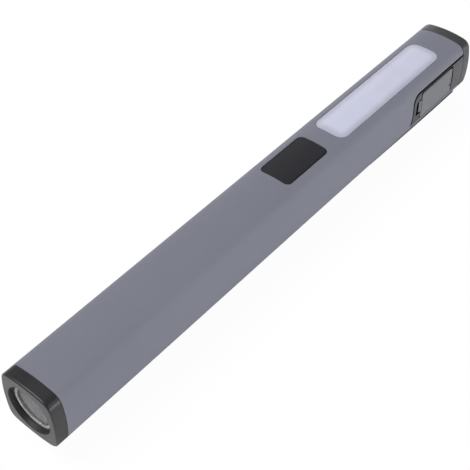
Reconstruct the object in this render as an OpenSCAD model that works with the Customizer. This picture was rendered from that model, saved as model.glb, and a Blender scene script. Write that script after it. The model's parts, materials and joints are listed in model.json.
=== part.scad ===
// Rechargeable pen light: a round spot lamp in the nose and a strip lamp behind the button.
// Stations run from the nose at 0 towards the tail. The tube axis is at height 0 until placed()
// sets the light down with the pocket clip's outer face on the ground plane.

/* [Housing] */
// Overall length, nose to tail
total_length = 170; // [167:1:185]
// Width across the two crowned sides
body_width = 16.9; // [16.7:0.1:18]
// Height across the crowned lamp face and underside
body_height = 17.3; // [17:0.1:18.5]
// Bulge of each face at its middle
crown = 1.1; // [0.6:0.1:1.4]
// Radius of the four long corners
corner_radius = 2.9; // [2.7:0.1:3.4]
// Wall of the housing tube
wall = 1.2; // [1:0.05:1.3]
// Length of the nose cap that shows
front_cap_length = 3.5; // [3:0.1:6]
// Length of the tail cap that shows
rear_cap_length = 3.8; // [3:0.1:6]
// Rounding of the nose cap's face edge
front_edge_radius = 0.5; // [0.2:0.1:0.8]
// Rounding of the tail cap's face edge
rear_edge_radius = 0.9; // [0.3:0.1:1.2]
// How far the nose cap's sleeve reaches into the tube
sleeve_length = 11.5; // [9:0.5:12]
// Solid end wall of the tail cap
rear_face_wall = 1.6; // [1:0.1:2.2]
// Wall of the tail cap's rim and skirt
rear_skirt_wall = 1; // [0.8:0.1:1.2]

/* [Spot lamp] */
// Wall of the nose cap's sleeve round the lens
sleeve_wall = 0.45; // [0.4:0.05:0.6]
// Width of the lip that holds the lens
lens_lip = 0.4; // [0.3:0.05:0.5]
// Taper of the round opening from its mouth to the lens
mouth_flare = 0.35; // [0.2:0.05:0.4]
// Depth of the lip in front of the lens
lip_depth = 1.1; // [0.8:0.1:1.5]
// Thickness of the sealing ring
seal_thickness = 0.3; // [0.2:0.05:0.5]
// Thickness of the lens at its rim
lens_thickness = 0.8; // [0.6:0.1:1.5]
// Bulge of the lens
lens_dome = 0.35; // [0.1:0.05:0.6]
// Length of the reflector cup
reflector_length = 8.7; // [7:0.1:9]
// Bright rim of the reflector that shows round the lens
shown_rim = 0.45; // [0.2:0.05:0.5]
// Ledge in the reflector's mouth that carries the lens
lens_ledge = 0.2; // [0.15:0.05:0.4]
// Radius of the hole that the light comes through
mirror_hole_radius = 1.9; // [1.6:0.1:2.2]
// Wall of the reflector cup
mirror_wall = 0.6; // [0.5:0.1:0.7]
// Side of the square lamp package
led_side = 3.45; // [3:0.05:3.5]
// Height of the lamp package
led_height = 0.6; // [0.4:0.1:0.7]
// Radius of the lamp's clear dome
led_dome_radius = 1.3; // [1:0.1:1.4]
// Thickness of the lamp's metal-core board
led_board_thickness = 1.2; // [1:0.1:1.6]
// Length of the heat sink slug
heat_sink_length = 5.8; // [5:0.2:7]

/* [Button] */
// Length of the button along the light
button_length = 17.45; // [14:0.05:19]
// Width of the button
button_width = 9.55; // [8:0.05:10]
// Corner radius of the button
button_corner = 1.5; // [0.8:0.1:2.5]
// Travel of the button
button_travel = 0.4; // [0.2:0.05:0.5]
// Depth of the button's face below the housing's face
button_inset = 0.08; // [0:0.02:0.2]
// Bridge of housing between button and strip window
button_bridge = 5.7; // [4.5:0.1:8]

/* [Strip lamp] */
// Length of the strip window
strip_length = 48.15; // [40:0.05:50]
// Width of the strip window
strip_width = 10.05; // [8:0.05:10.2]
// Corner radius of the strip window
strip_corner = 2.6; // [1.5:0.1:3]
// Housing between the strip window and the end of the light
strip_to_tail = 12.1; // [11.5:0.1:14]
// Thickness of the diffuser at its middle
diffuser_thickness = 1.5; // [1:0.1:1.8]
// Rim of the flanges hidden under the housing's wall
flange_rim = 0.95; // [0.7:0.05:1]
// Thickness of the strip lamp's metal-core board
strip_board_thickness = 1; // [0.8:0.1:1.2]
// Height of the white tray between board and diffuser
tray_height = 1.8; // [1.5:0.1:2]
// Width of the glowing phosphor bar
phosphor_width = 4; // [3:0.1:6]
// Height of the phosphor bar
phosphor_height = 0.5; // [0.3:0.1:0.8]

/* [Charging port] */
// Length of side notch ahead of the tail cap
notch_length = 26.2; // [25.5:0.1:28]
// Height of the notch's upper edge above the axis
notch_top = 5.4; // [5.2:0.1:6]
// Depth of the notch's lower edge below the axis
notch_bottom = 5.2; // [5.15:0.05:5.3]
// Radius of the notch's upper front corner
notch_corner = 3; // [1.5:0.1:4]
// Length of the rubber flap
flap_length = 16.2; // [15.6:0.1:16.6]
// Height of the rubber flap
flap_height = 9; // [8.6:0.1:9.1]
// Height of the flap's centre above the axis
flap_centre = -0.1; // [-0.15:0.05:0.1]
// Corner radius of the flap at its pull lip
flap_corner = 1; // [0.4:0.1:1.6]
// Corner radius of the flap at its hinge
flap_rear_corner = 1.4; // [0.8:0.1:1.5]
// How far the flap stands proud of the housing
flap_proud = 0.15; // [0:0.05:0.3]
// Housing surface to the floor of the flap's pocket
pocket_depth = 1.3; // [1.2:0.05:1.4]
// Distance from the tail cap's seam to the flap's rear edge
flap_to_seam = 5.7; // [5.4:0.1:6]
// Length of the pull lip on the flap
lip_length = 1.2; // [0.8:0.1:1.4]
// Width of the pull lip
lip_width = 3.9; // [3:0.1:4.5]
// Length of the finger recess beside the lip
recess_length = 2.5; // [2:0.1:2.8]
// Depth of the finger recess below the pocket's floor
recess_depth = 0.6; // [0.3:0.1:0.7]
// Depth of the bezel below the side of the body
bezel_depth = 2.3; // [2.2:0.05:2.4]
// Width of the socket's metal shell
socket_width = 8.94; // [8.9:0.02:9]
// Height of the socket's metal shell
socket_height = 3.26; // [3.2:0.02:3.3]
// Depth of the socket
socket_depth = 7.35; // [6.5:0.05:8]
// Wall of the socket's shell
socket_wall = 0.3; // [0.25:0.05:0.35]
// Width of the contact tongue
tongue_width = 6.7; // [6.5:0.05:6.8]
// Thickness of the contact tongue
tongue_thickness = 0.7; // [0.6:0.05:0.8]
// How far the flap may be opened
flap_open_angle = 100; // [60:5:100]

/* [Battery] */
// Gap round the lithium cell, which fills the tube
cell_gap = 0.15; // [0.1:0.05:0.3]
// Foam pad ahead of the cell
cell_pad_thickness = 1.8; // [1.4:0.1:2.4]
// Thickness of the nickel tab
tab_thickness = 0.15; // [0.1:0.05:0.2]
// Width of the nickel tab
tab_width = 3; // [2:0.1:4]
// Thickness of the protection board behind the cell
guard_board_thickness = 0.8; // [0.6:0.1:1]
// Diameter of the insulated leads
lead_diameter = 1; // [0.8:0.1:1.1]

/* [Chassis and boards] */
// Room for the leads between the chassis's front wall and the button
lead_room = 15.75; // [14:0.25:20]
// Wall of the chassis
chassis_wall = 1; // [0.8:0.1:1.1]
// Thickness of the chassis end walls
bulkhead = 1.2; // [1:0.1:1.6]
// Width of the ledges that carry the boards
ledge_width = 1.1; // [0.8:0.1:1.3]
// Height of the ledges
ledge_height = 1; // [0.8:0.1:1.2]
// Height of the main board's upper face above the axis
board_level = -1.7; // [-1.8:0.05:-1.65]
// Thickness of the main board
board_thickness = 1; // [0.8:0.1:1.2]
// Height of the strip ledges' upper face above the axis
strip_level = 3.2; // [3:0.1:3.3]
// Radius of the power coil
coil_radius = 2.1; // [1.5:0.1:2.4]
// Height of the power coil
coil_height = 2.2; // [1.2:0.1:3]
// Side of the charger chip
chip_side = 5; // [3:0.5:5]
// Height of the charger chip
chip_height = 1.5; // [0.8:0.1:2]
// Length of a small capacitor
capacitor_length = 2; // [1:0.1:2.4]
// Side of the square push switch
switch_side = 6; // [5:0.1:6.5]
// Height of the push switch's case
switch_height = 3.5; // [3:0.1:4.5]
// Radius of the switch's plunger
plunger_radius = 1.75; // [1.2:0.05:2]
// Height of the switch with its plunger
plunger_height = 7.3; // [6.8:0.1:7.4]

/* [Pocket clip] */
// Gap between the underside and the clip
clip_gap = 2.2; // [1.8:0.1:3]
// Thickness of the clip's sheet
clip_thickness = 0.8; // [0.6:0.1:1]
// Width of the clip at the tail
clip_width = 10.5; // [9:0.1:11.5]
// Width of the clip at its free end
clip_tip_width = 10; // [6:0.1:10.4]
// Length of the screwed-down plate
clip_plate_length = 15.6; // [15:0.1:18]
// Length of the free arm
clip_arm_length = 36; // [28:0.5:45]
// Distance from the tail to the clip's rear edge
clip_to_tail = 0.4; // [0.2:0.1:3]
// Height of the bend that touches the housing
clip_bend_height = 1.75; // [1.2:0.05:1.8]
// Corner radius at the ends of the clip
clip_corner = 2.2; // [1:0.1:2.9]
// How far the arm can spring open
clip_open_angle = 4; // [2:0.5:6]
// Shank radius of the clip and board screws
screw_radius = 0.95; // [0.8:0.05:1]
// Head radius of the screws
screw_head_radius = 1.75; // [1.5:0.05:2]

/* [Fits] */
// Gap at pieces that slide together
slide_gap = 0.05; // [0.03:0.01:0.1]
// Gap round moulded pieces
mould_gap = 0.1; // [0.06:0.01:0.12]
// Gap round the rubber flap
flap_gap = 0.2; // [0.1:0.01:0.2]

/* [Hidden] */
// Stations along the light
seam_front = front_cap_length;
seam_rear = total_length - rear_cap_length;
strip_x1 = total_length - strip_to_tail;
strip_x0 = strip_x1 - strip_length;
button_x1 = strip_x0 - button_bridge;
button_x0 = button_x1 - button_length;
button_x = (button_x0 + button_x1) / 2;
strip_x = (strip_x0 + strip_x1) / 2;
notch_x0 = seam_rear - notch_length;
flap_x1 = seam_rear - flap_to_seam;
flap_x0 = flap_x1 - flap_length;

// Spot lamp stack
narrow = min(body_width, body_height);
lamp_bore_radius = narrow / 2 - wall - slide_gap - sleeve_wall;
opening_radius = lamp_bore_radius - lens_lip;
mouth_radius = opening_radius + mouth_flare;
lens_radius = opening_radius - shown_rim;
mirror_radius = lens_radius - lens_ledge;
lens_x = lip_depth + seal_thickness;
reflector_x = lens_x + lens_thickness;
led_board_x = reflector_x + reflector_length;
heat_sink_x = led_board_x + led_board_thickness;
pad_x = heat_sink_x + heat_sink_length;
stack_radius = lamp_bore_radius - slide_gap;
package_pocket = 0.1;
lead_circle = lamp_bore_radius - lead_diameter - 2 * mould_gap;

// Battery stack
tab_x = pad_x + cell_pad_thickness;
cell_x0 = tab_x + tab_thickness;
chassis_x0 = button_x0 - lead_room;
guard_x1 = chassis_x0 - 2 * mould_gap;
cell_x1 = guard_x1 - guard_board_thickness;
cell_diameter = narrow - 2 * wall - 2 * cell_gap;
cell_button_length = 1;
cell_button_radius = 2.8;
crimp_depth = 0.35;
crimp_from_end = 3;
crimp_width = 1.2;

// Crowned section: centres and radii of the side, top and corner arcs
side_arc = (pow(body_height / 2, 2) + pow(crown, 2)) / (2 * crown);
top_arc = (pow(body_width / 2, 2) + pow(crown, 2)) / (2 * crown);
side_centre = body_width / 2 - side_arc;
top_centre = body_height / 2 - top_arc;
centre_gap = norm([side_centre, top_centre]);
side_reach = side_arc - corner_radius;
top_reach = top_arc - corner_radius;
foot = (pow(side_reach, 2) - pow(top_reach, 2) + pow(centre_gap, 2)) / (2 * centre_gap);
rise = sqrt(pow(side_reach, 2) - pow(foot, 2));
corner_y = side_centre - foot * side_centre / centre_gap - rise * top_centre / centre_gap;
corner_z = foot * top_centre / centre_gap - rise * side_centre / centre_gap;
side_end = atan2(corner_z, corner_y - side_centre);
corner_end = atan2(corner_z - top_centre, corner_y);
face_steps = 3;
corner_steps = 7;

// Heights about the axis
inner_half_height = body_height / 2 - wall;
flange_bottom = strip_level + strip_board_thickness + tray_height;
board_bottom = board_level - board_thickness;
chassis_inset = wall + mould_gap;
floor_z = chassis_inset + chassis_wall - body_height / 2;
plunger_top = board_level + plunger_height;
button_flange_height = 0.7;
socket_z = board_level + socket_height / 2;

// Places across the light
bezel_inner_y = bezel_depth - body_width / 2;
pocket_y = pocket_depth - body_width / 2;
stack_half_width = -bezel_inner_y - mould_gap;
hinge_radius = 0.65;
pocket_rear_corner = flap_rear_corner - 0.5;
hinge_y = pocket_y - slide_gap - hinge_radius;
hinge_x = flap_x1 - hinge_radius;
strap_height = 3;
socket_x = flap_x0 + (flap_length - hinge_radius) / 2 - 0.5;
socket_mouth_y = pocket_y + mould_gap;
lamp_pad_y = stack_half_width - 1.65 * lead_diameter;
cell_pad_y = lamp_pad_y - 1.8 * lead_diameter;

// Clip
underside = -body_height / 2;
clip_inner_z = underside - clip_gap;
clip_outer_z = clip_inner_z - clip_thickness;
clip_x1 = total_length - clip_to_tail;
clip_hinge_x = clip_x1 - clip_plate_length;
clip_tip_x = clip_hinge_x - clip_arm_length;
clip_middle_z = (clip_inner_z + clip_outer_z) / 2;
clip_screw_first = clip_hinge_x + clip_thickness + screw_head_radius + slide_gap;
clip_screw_x = [clip_screw_first, clip_screw_first + 3 * screw_head_radius];
clip_hinge_gap = 0.05;
spacer_width = clip_width - 3;
spacer_x0 = clip_hinge_x + clip_thickness / 2;
spacer_x1 = seam_rear - 0.3;
clip_screw_top = board_bottom - ledge_height - 0.4;
screw_boss_radius = 2 * screw_radius + mould_gap;
board_screw_x = [chassis_x0 + bulkhead + 2 * screw_boss_radius, strip_x + screw_boss_radius];
axis_height = -clip_outer_z;

$fn = 64;

// Sets the light down: middle of its length over the origin, clip face on the ground
module placed() {
    translate([-total_length / 2, 0, axis_height]) children();
}

function arc(cy, cz, r, a0, a1, steps, first = 0) =
    [for (i = [first:steps]) let (a = a0 + (a1 - a0) * i / steps) [cy + r * cos(a), cz + r * sin(a)]];

// One quarter of the crowned section, from the side's middle to the top's middle
function quarter(inset) = concat(
    arc(side_centre, 0, side_arc - inset, 0, side_end, face_steps),
    arc(corner_y, corner_z, corner_radius - inset, side_end, corner_end, corner_steps, 1),
    arc(0, top_centre, top_arc - inset, corner_end, 90, face_steps, 1));

// The whole section, drawn in by inset all round
function section(inset) =
    let (q = quarter(inset), last = len(q) - 1)
    concat([for (i = [0:last - 1]) q[i]],
           [for (i = [last:-1:1]) [-q[i][0], q[i][1]]],
           [for (i = [0:last - 1]) [-q[i][0], -q[i][1]]],
           [for (i = [last:-1:1]) [q[i][0], -q[i][1]]]);

// Stands a drawing of width and height upright and pulls it along the light
module along(x0, x1) {
    translate([x0, 0, 0]) rotate([90, 0, 90]) linear_extrude(x1 - x0) children();
}

module body_bar(x0, x1, inset = 0) {
    along(x0, x1) polygon(section(inset));
}

// Body bar with one rounded end, face at x_face and flat back at x_back
module soft_block(x_face, x_back, radius) {
    way = x_back > x_face ? 1 : -1;
    steps = 4;
    hull() {
        for (i = [0:steps]) {
            a = 90 * i / steps;
            x = x_face + way * radius * (1 - sin(a));
            body_bar(min(x, x + way * 0.02), max(x, x + way * 0.02), radius * (1 - cos(a)));
        }
        body_bar(min(x_back, x_back - way * 0.1), max(x_back, x_back - way * 0.1));
    }
}

// Rectangle with arcs at its corners, radii in the order low-low, high-low, high-high, low-high
function soft_rect(x0, x1, y0, y1, r, steps = 6) = concat(
    arc(x1 - r[1], y0 + r[1], r[1], -90, 0, steps),
    arc(x1 - r[2], y1 - r[2], r[2], 0, 90, steps),
    arc(x0 + r[3], y1 - r[3], r[3], 90, 180, steps),
    arc(x0 + r[0], y0 + r[0], r[0], 180, 270, steps));

// Upright bar with a rounded outline seen from above
module top_bar(x0, x1, half, r, z0, z1) {
    translate([0, 0, z0]) linear_extrude(z1 - z0) polygon(soft_rect(x0, x1, -half, half, [r, r, r, r]));
}

// Bar through the side of the light, outline drawn along and up, between y0 and y1
module side_bar(points, y0, y1) {
    translate([0, y1, 0]) rotate([90, 0, 0]) linear_extrude(y1 - y0) polygon(points);
}

module box(x0, x1, y0, y1, z0, z1) {
    translate([x0, y0, z0]) cube([x1 - x0, y1 - y0, z1 - z0]);
}

// Round bar along the light, off the axis at angle a when out is given
module rod(x0, x1, r, out = 0, a = 0) {
    translate([x0, out * cos(a), out * sin(a)]) rotate([0, 90, 0]) cylinder(h = x1 - x0, r = r);
}

module tube(x0, x1, r_out, r_in) {
    difference() {
        rod(x0, x1, r_out);
        rod(x0 - 1, x1 + 1, r_in);
    }
}

// Spins a profile of [radius, station] points about the axis
module spun(points) {
    rotate([0, 90, 0]) rotate_extrude() polygon(points);
}

// Outline of the notch in the side, made smaller by gap
function notch(gap, x_end) = soft_rect(notch_x0 + gap, x_end, -notch_bottom + gap, notch_top - gap,
                                       [0.5, 0.05, 0.05, notch_corner]);

// The housing
module housing() {
    placed() color([0.48, 0.49, 0.53]) difference() {
        body_bar(seam_front, seam_rear);
        body_bar(seam_front - 1, seam_rear + 1, wall);
        top_bar(button_x0 - mould_gap, button_x1 + mould_gap, button_width / 2 + mould_gap,
                button_corner + mould_gap, 0, body_height);
        top_bar(strip_x0 - slide_gap, strip_x1 + slide_gap, strip_width / 2 + slide_gap,
                strip_corner + slide_gap, 0, body_height);
        side_bar(notch(0, seam_rear + 1), -body_width, -body_width / 4);
        for (x = clip_screw_x)
            translate([x, 0, -body_height]) cylinder(h = body_height, r = screw_radius + mould_gap);
    }
}

// Nose cap: a crowned face block with a round lip, and a sleeve inside the tube
module front_cap() {
    placed() color([0.2, 0.2, 0.21]) difference() {
        union() {
            soft_block(0, seam_front, front_edge_radius);
            body_bar(seam_front - 0.5, seam_front + sleeve_length, wall + slide_gap);
        }
        spun([[0, -1], [mouth_radius, -1], [mouth_radius, 0], [opening_radius, lip_depth],
              [opening_radius, lip_depth + 0.5], [0, lip_depth + 0.5]]);
        rod(lip_depth, seam_front + sleeve_length + 1, lamp_bore_radius);
    }
}

module lens_seal() {
    placed() color([0.1, 0.1, 0.1]) tube(lip_depth, lens_x, stack_radius, opening_radius + slide_gap);
}

// Window with a domed front, let into the mouth of the reflector
module front_lens() {
    steps = 8;
    dome = [for (i = [0:steps])
            let (r = lens_radius * i / steps) [r, lens_x - lens_dome * (1 - pow(i / steps, 2))]];
    placed() color([0.8, 0.85, 0.9, 0.4]) spun(concat(dome, [[lens_radius, reflector_x], [0, reflector_x]]));
}

// Parabolic cup: bright rim round the lens, ledge under it, mirror down to the hole, pocket over the lamp
module reflector() {
    hole_x = led_board_x - led_height - package_pocket;
    share = pow(mirror_hole_radius / mirror_radius, 2);
    vertex_x = (hole_x - reflector_x * share) / (1 - share);
    steps = 12;
    flange = 1;
    seat = lens_radius + slide_gap;
    mirror = [for (i = [0:steps])
              let (x = reflector_x + (hole_x - reflector_x) * i / steps)
              [mirror_radius * sqrt((vertex_x - x) / (vertex_x - reflector_x)), x]];
    back = [for (i = [steps - 2:-1:2]) if (mirror[i][1] > reflector_x + flange)
            [mirror[i][0] + mirror_wall, mirror[i][1] + mirror_wall / 2]];
    pocket = led_side / sqrt(2) + package_pocket;
    placed() color([0.9, 0.9, 0.92])
        spun(concat(mirror, [[pocket, hole_x], [pocket, led_board_x], [pocket + mirror_wall, led_board_x]],
                    back, [[stack_radius - mirror_wall, reflector_x + flange],
                           [stack_radius, reflector_x + flange], [stack_radius, lens_x],
                           [seat, lens_x], [seat, reflector_x]]));
}

module spot_led() {
    face_x = led_board_x - led_height;
    placed() color([0.95, 0.85, 0.4]) union() {
        box(face_x, led_board_x, -led_side / 2, led_side / 2, -led_side / 2, led_side / 2);
        intersection() {
            translate([face_x, 0, 0]) rotate([0, 90, 0]) sphere(r = led_dome_radius);
            rod(face_x - 2, face_x + led_height / 2, led_dome_radius + 0.5);
        }
    }
}

// Holes where the two lamp leads pass
module lead_holes(x0, x1, r) {
    for (a = [45, 135]) rod(x0, x1, r, lead_circle, a);
}

module led_board() {
    placed() color([0.9, 0.9, 0.88]) difference() {
        rod(led_board_x, heat_sink_x, stack_radius - mould_gap);
        lead_holes(led_board_x - 1, heat_sink_x + 1, lead_diameter / 2 + slide_gap);
    }
}

// Slug with two cooling grooves behind the sleeve
module heat_sink() {
    groove = 0.7;
    placed() color([0.72, 0.73, 0.75]) difference() {
        rod(heat_sink_x, pad_x, stack_radius - slide_gap);
        for (i = [1:2]) tube(pad_x - 2 * i * groove, pad_x - (2 * i - 1) * groove, stack_radius + 1,
                             stack_radius - 2 * groove);
        lead_holes(heat_sink_x - 1, pad_x + 1, lead_diameter / 2 + 2 * mould_gap);
    }
}

// Ring of points round p, square to the direction of travel
function lead_ring(p, way, r, sides) =
    let (u = cross(way, [0, 1, 1]), n = u / norm(u), m = cross(way, n) / norm(way))
    [for (k = [0:sides - 1]) p + r * cos(360 * k / sides) * n + r * sin(360 * k / sides) * m];

// Insulated lead that follows a list of points
module lead(path, r = lead_diameter / 2, sides = 10) {
    last = len(path) - 1;
    rings = [for (i = [0:last])
             let (back = i == 0 ? path[1] - path[0] : path[i] - path[i - 1],
                  on = i == last ? back : path[i + 1] - path[i],
                  way = back / norm(back) + on / norm(on))
             each lead_ring(path[i], way, r / max(0.8, norm(way) / 2), sides)];
    walls = [for (i = [0:last - 1]) for (k = [0:sides - 1])
             let (a = i * sides + k, b = i * sides + (k + 1) % sides)
             each [[a, b, b + sides], [a, b + sides, a + sides]]];
    polyhedron(rings, concat([[for (k = [sides - 1:-1:0]) k]], walls,
                             [[for (k = [0:sides - 1]) last * sides + k]]));
}

// Two leads from the spot lamp, past the cell in the tube's upper corners, down to the main board
module lamp_leads() {
    outwards = (corner_radius - wall - lead_diameter / 2 - 2 * mould_gap) / sqrt(2);
    lead_y = corner_y + outwards;
    lead_z = corner_z + outwards;
    inner = lead_circle / sqrt(2);
    d = lead_diameter;
    end_x = chassis_x0 + bulkhead + 9 * d;
    placed() color([0.75, 0.1, 0.1]) for (s = [-1, 1])
        lead([[led_board_x + 0.1, s * inner, inner], [pad_x + 0.45 * d, s * inner, inner],
              [cell_x0 - d / 2, s * lead_y, lead_z], [chassis_x0 + d, s * lead_y, lead_z],
              [chassis_x0 + bulkhead + 4 * lead_diameter, s * (lamp_pad_y + d / 5), strip_level + d],
              [end_x - 2.2 * d, s * lamp_pad_y, board_level + 1.4 * d],
              [end_x - 0.8 * d, s * lamp_pad_y, board_level + 0.55 * d],
              [end_x + d, s * lamp_pad_y, board_level + 0.55 * d]]);
}

module cell_pad() {
    placed() color([0.25, 0.25, 0.25]) rod(pad_x, tab_x, lead_circle - lead_diameter);
}

// Cell with its crimp groove and contact button
module battery_cell() {
    can = cell_diameter / 2;
    can_x1 = cell_x1 - cell_button_length;
    crimp_x = can_x1 - crimp_from_end;
    placed() color([0.15, 0.35, 0.6])
        spun([[0, cell_x0], [can - 0.3, cell_x0], [can, cell_x0 + 0.3], [can, crimp_x - crimp_width / 2],
              [can - crimp_depth, crimp_x], [can, crimp_x + crimp_width / 2], [can, can_x1 - 0.3],
              [can - 0.3, can_x1], [cell_button_radius, can_x1], [cell_button_radius, cell_x1], [0, cell_x1]]);
}

// Nickel strip over the front of the cell and back along it, in the tube's lower corner
module cell_tab() {
    side = cell_diameter / 2 + mould_gap;
    placed() color([0.75, 0.73, 0.68]) rotate([-45, 0, 0]) union() {
        box(tab_x, cell_x0, -1, side + tab_thickness, -tab_width / 2, tab_width / 2);
        box(tab_x, cell_x1 + guard_board_thickness / 2, side, side + tab_thickness,
            -tab_width / 2, tab_width / 2);
    }
}

// Round board on the contact button, with a cut-out at the tab
module cell_guard_board() {
    placed() color([0.1, 0.35, 0.2]) difference() {
        rod(cell_x1, guard_x1, cell_diameter / 2 - 0.6);
        rotate([-45, 0, 0]) box(cell_x1 - 1, guard_x1 + 1, cell_diameter / 2 - 1.2, cell_diameter,
                                -tab_width / 2, tab_width / 2);
    }
}

module cell_leads() {
    d = lead_diameter;
    x = chassis_x0 + bulkhead;
    placed() color([0.1, 0.1, 0.1]) for (s = [-1, 1])
        lead([[guard_x1, s * 1.8 * d, 1.2 * d], [x + 0.6 * d, s * 1.8 * d, 1.2 * d],
              [x + 5.4 * d, s * cell_pad_y, board_level + 1.5 * d],
              [x + 6.6 * d, s * cell_pad_y, board_level + 0.55 * d],
              [x + 8 * d, s * cell_pad_y, board_level + 0.55 * d]]);
}

// Ledges on both sides of the chassis, with their upper face at level z
module ledges(x0, x1, z) {
    reach = stack_half_width + mould_gap / 2;
    intersection() {
        for (s = [-1, 1])
            box(x0, x1, s > 0 ? reach - ledge_width : -reach - chassis_wall * 1.2,
                s > 0 ? reach + chassis_wall * 1.2 : -reach + ledge_width, z - ledge_height, z);
        body_bar(x0, x1, chassis_inset + chassis_wall / 4);
    }
}

// Trough that carries both boards and slides into the tube from the tail
module chassis() {
    rear_x = seam_rear - 2.2;
    bezel_x0 = notch_x0 - flange_rim - mould_gap;
    bezel_cut = soft_rect(bezel_x0, seam_rear + 1, -notch_bottom - flange_rim - mould_gap, body_height / 2,
                          [0.5, 0.05, 0.05, 0.5]);
    placed() color([0.22, 0.22, 0.24]) difference() {
        union() {
            difference() {
                union() {
                    difference() {
                        body_bar(chassis_x0, rear_x, chassis_inset);
                        body_bar(chassis_x0 + bulkhead, rear_x - bulkhead, chassis_inset + chassis_wall);
                    }
                    ledges(chassis_x0 + 0.5, rear_x - 0.5, board_bottom);
                }
                side_bar(bezel_cut, -body_width, bezel_inner_y + mould_gap / 2);
            }
            intersection() {
                ledges(strip_x0 - 3, rear_x - 0.5, strip_level);
                box(0, total_length, bezel_inner_y + mould_gap / 2, body_width, -body_height, body_height);
            }
            for (x = board_screw_x)
                translate([x, 0, floor_z - 0.3])
                    cylinder(h = board_bottom - floor_z + 0.3, r = screw_boss_radius);
            for (x = clip_screw_x)
                translate([x, 0, floor_z - 0.3])
                    cylinder(h = clip_screw_top - floor_z + 0.7, r = screw_boss_radius);
        }
        box(chassis_x0 - 1, total_length, -body_width, body_width, strip_level, body_height);
        box(chassis_x0 - 1, chassis_x0 + bulkhead + 1, -3.2, 3.2, 0.2, body_height);
        box(rear_x - bulkhead - 1, rear_x + 1, -3, 3, -1.5, 1.8);
        for (x = board_screw_x)
            translate([x, 0, floor_z + 0.2]) cylinder(h = body_height, r = screw_radius + 0.02);
        for (x = clip_screw_x)
            translate([x, 0, -body_height]) cylinder(h = clip_screw_top + body_height, r = screw_radius + 0.02);
    }
}

module main_board() {
    board_x0 = chassis_x0 + bulkhead + mould_gap;
    board_x1 = seam_rear - 2.2 - bulkhead - 1;
    placed() color([0.08, 0.3, 0.16]) difference() {
        box(board_x0, board_x1, slide_gap - stack_half_width, stack_half_width - slide_gap, board_bottom,
            board_level);
        for (x = board_screw_x)
            translate([x, 0, board_bottom - 1]) cylinder(h = board_thickness + 2, r = screw_radius + mould_gap);
    }
}

// Coil, controller chips and a row of small capacitors
module board_parts() {
    coil_x = strip_x0 + 4 * coil_radius;
    chip_x = coil_x + 2 * coil_radius;
    reach = stack_half_width - 1.5;
    pitch = 1.5 * capacitor_length;
    placed() color([0.12, 0.12, 0.13]) union() {
        translate([coil_x, coil_radius - reach, board_level]) cylinder(h = coil_height, r = coil_radius);
        box(chip_x, chip_x + chip_side, -reach, chip_side - reach, board_level, board_level + chip_height);
        box(coil_x - 2 * coil_radius, coil_x - coil_radius / 2, reach - 3, reach, board_level,
            board_level + chip_height * 0.7);
        for (i = [0:3])
            box(coil_x + pitch * i, coil_x + pitch * (i + 0.4), reach - capacitor_length, reach, board_level,
                board_level + capacitor_length / 2);
    }
}

module board_screws() {
    placed() color([0.6, 0.6, 0.62]) for (x = board_screw_x) union() {
        translate([x, 0, floor_z + 0.4]) cylinder(h = board_level - floor_z - 0.3, r = screw_radius);
        difference() {
            translate([x, 0, board_level]) cylinder(h = 0.9, r = screw_head_radius);
            for (a = [0, 90])
                translate([x, 0, board_level + 0.9]) rotate([0, 0, a]) cube([2.2, 0.4, 0.8], center = true);
        }
    }
}

// Square push switch with a well for its plunger
module tact_switch() {
    half = switch_side / 2;
    top = board_level + switch_height;
    placed() color([0.2, 0.2, 0.2]) difference() {
        box(button_x - half, button_x + half, -half, half, board_level, top);
        translate([button_x, 0, top - 1.5]) cylinder(h = 2, r = plunger_radius + slide_gap);
    }
}

module switch_plunger() {
    foot_z = board_level + switch_height - 1.4 + button_travel;
    placed() color([0.1, 0.1, 0.1])
        translate([button_x, 0, foot_z]) cylinder(h = plunger_top - foot_z, r = plunger_radius);
}

// Piece that fills a window flush with the crowned face and has a rim trapped under the wall
module window_piece(x0, x1, half, corner, gap, inset, rim_z0, rim_z1) {
    union() {
        intersection() {
            body_bar(x0 - 2, x1 + 2, inset);
            top_bar(x0, x1, half, corner, rim_z0, body_height);
        }
        intersection() {
            body_bar(x0 - 2, x1 + 2, wall + gap);
            top_bar(x0 - flange_rim, x1 + flange_rim, half + flange_rim, corner + flange_rim, rim_z0, rim_z1);
        }
    }
}

// Button: crowned cap, trapped rim, hollow underside and a post down to the switch
module power_button() {
    half = button_width / 2;
    rim_z0 = flange_bottom - 0.1;
    placed() color([0.13, 0.13, 0.14]) union() {
        difference() {
            window_piece(button_x0, button_x1, half, button_corner, slide_gap, button_inset, rim_z0,
                         body_height);
            top_bar(button_x0 + 1.2, button_x1 - 1.2, half - 1.2, button_corner, 0, inner_half_height - 0.2);
        }
        translate([button_x, 0, plunger_top + 0.02])
            cylinder(h = inner_half_height - plunger_top, r = plunger_radius + 0.45);
    }
}

module strip_diffuser() {
    half = strip_width / 2;
    placed() color([0.86, 0.86, 0.92]) difference() {
        window_piece(strip_x0, strip_x1, half, strip_corner, slide_gap, 0, flange_bottom, body_height);
        top_bar(strip_x0 + 1, strip_x1 - 1, half - 1, strip_corner - 1, 0,
                body_height / 2 - diffuser_thickness);
    }
}

// White tray whose sloping walls throw the light up into the diffuser
module strip_tray() {
    bottom = strip_level + strip_board_thickness;
    placed() color([0.93, 0.93, 0.92]) difference() {
        intersection() {
            top_bar(strip_x0 - flange_rim, strip_x1 + flange_rim, stack_half_width, 1, bottom, flange_bottom);
            body_bar(strip_x0 - 3, strip_x1 + 3, wall + slide_gap);
        }
        hull() {
            top_bar(strip_x0 + 2, strip_x1 - 2, phosphor_width / 2 + 0.6, 1, bottom - 0.1, bottom);
            top_bar(strip_x0 + 1, strip_x1 - 1, strip_width / 2 - 1, strip_corner - 1,
                    flange_bottom, flange_bottom + 0.1);
        }
    }
}

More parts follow.
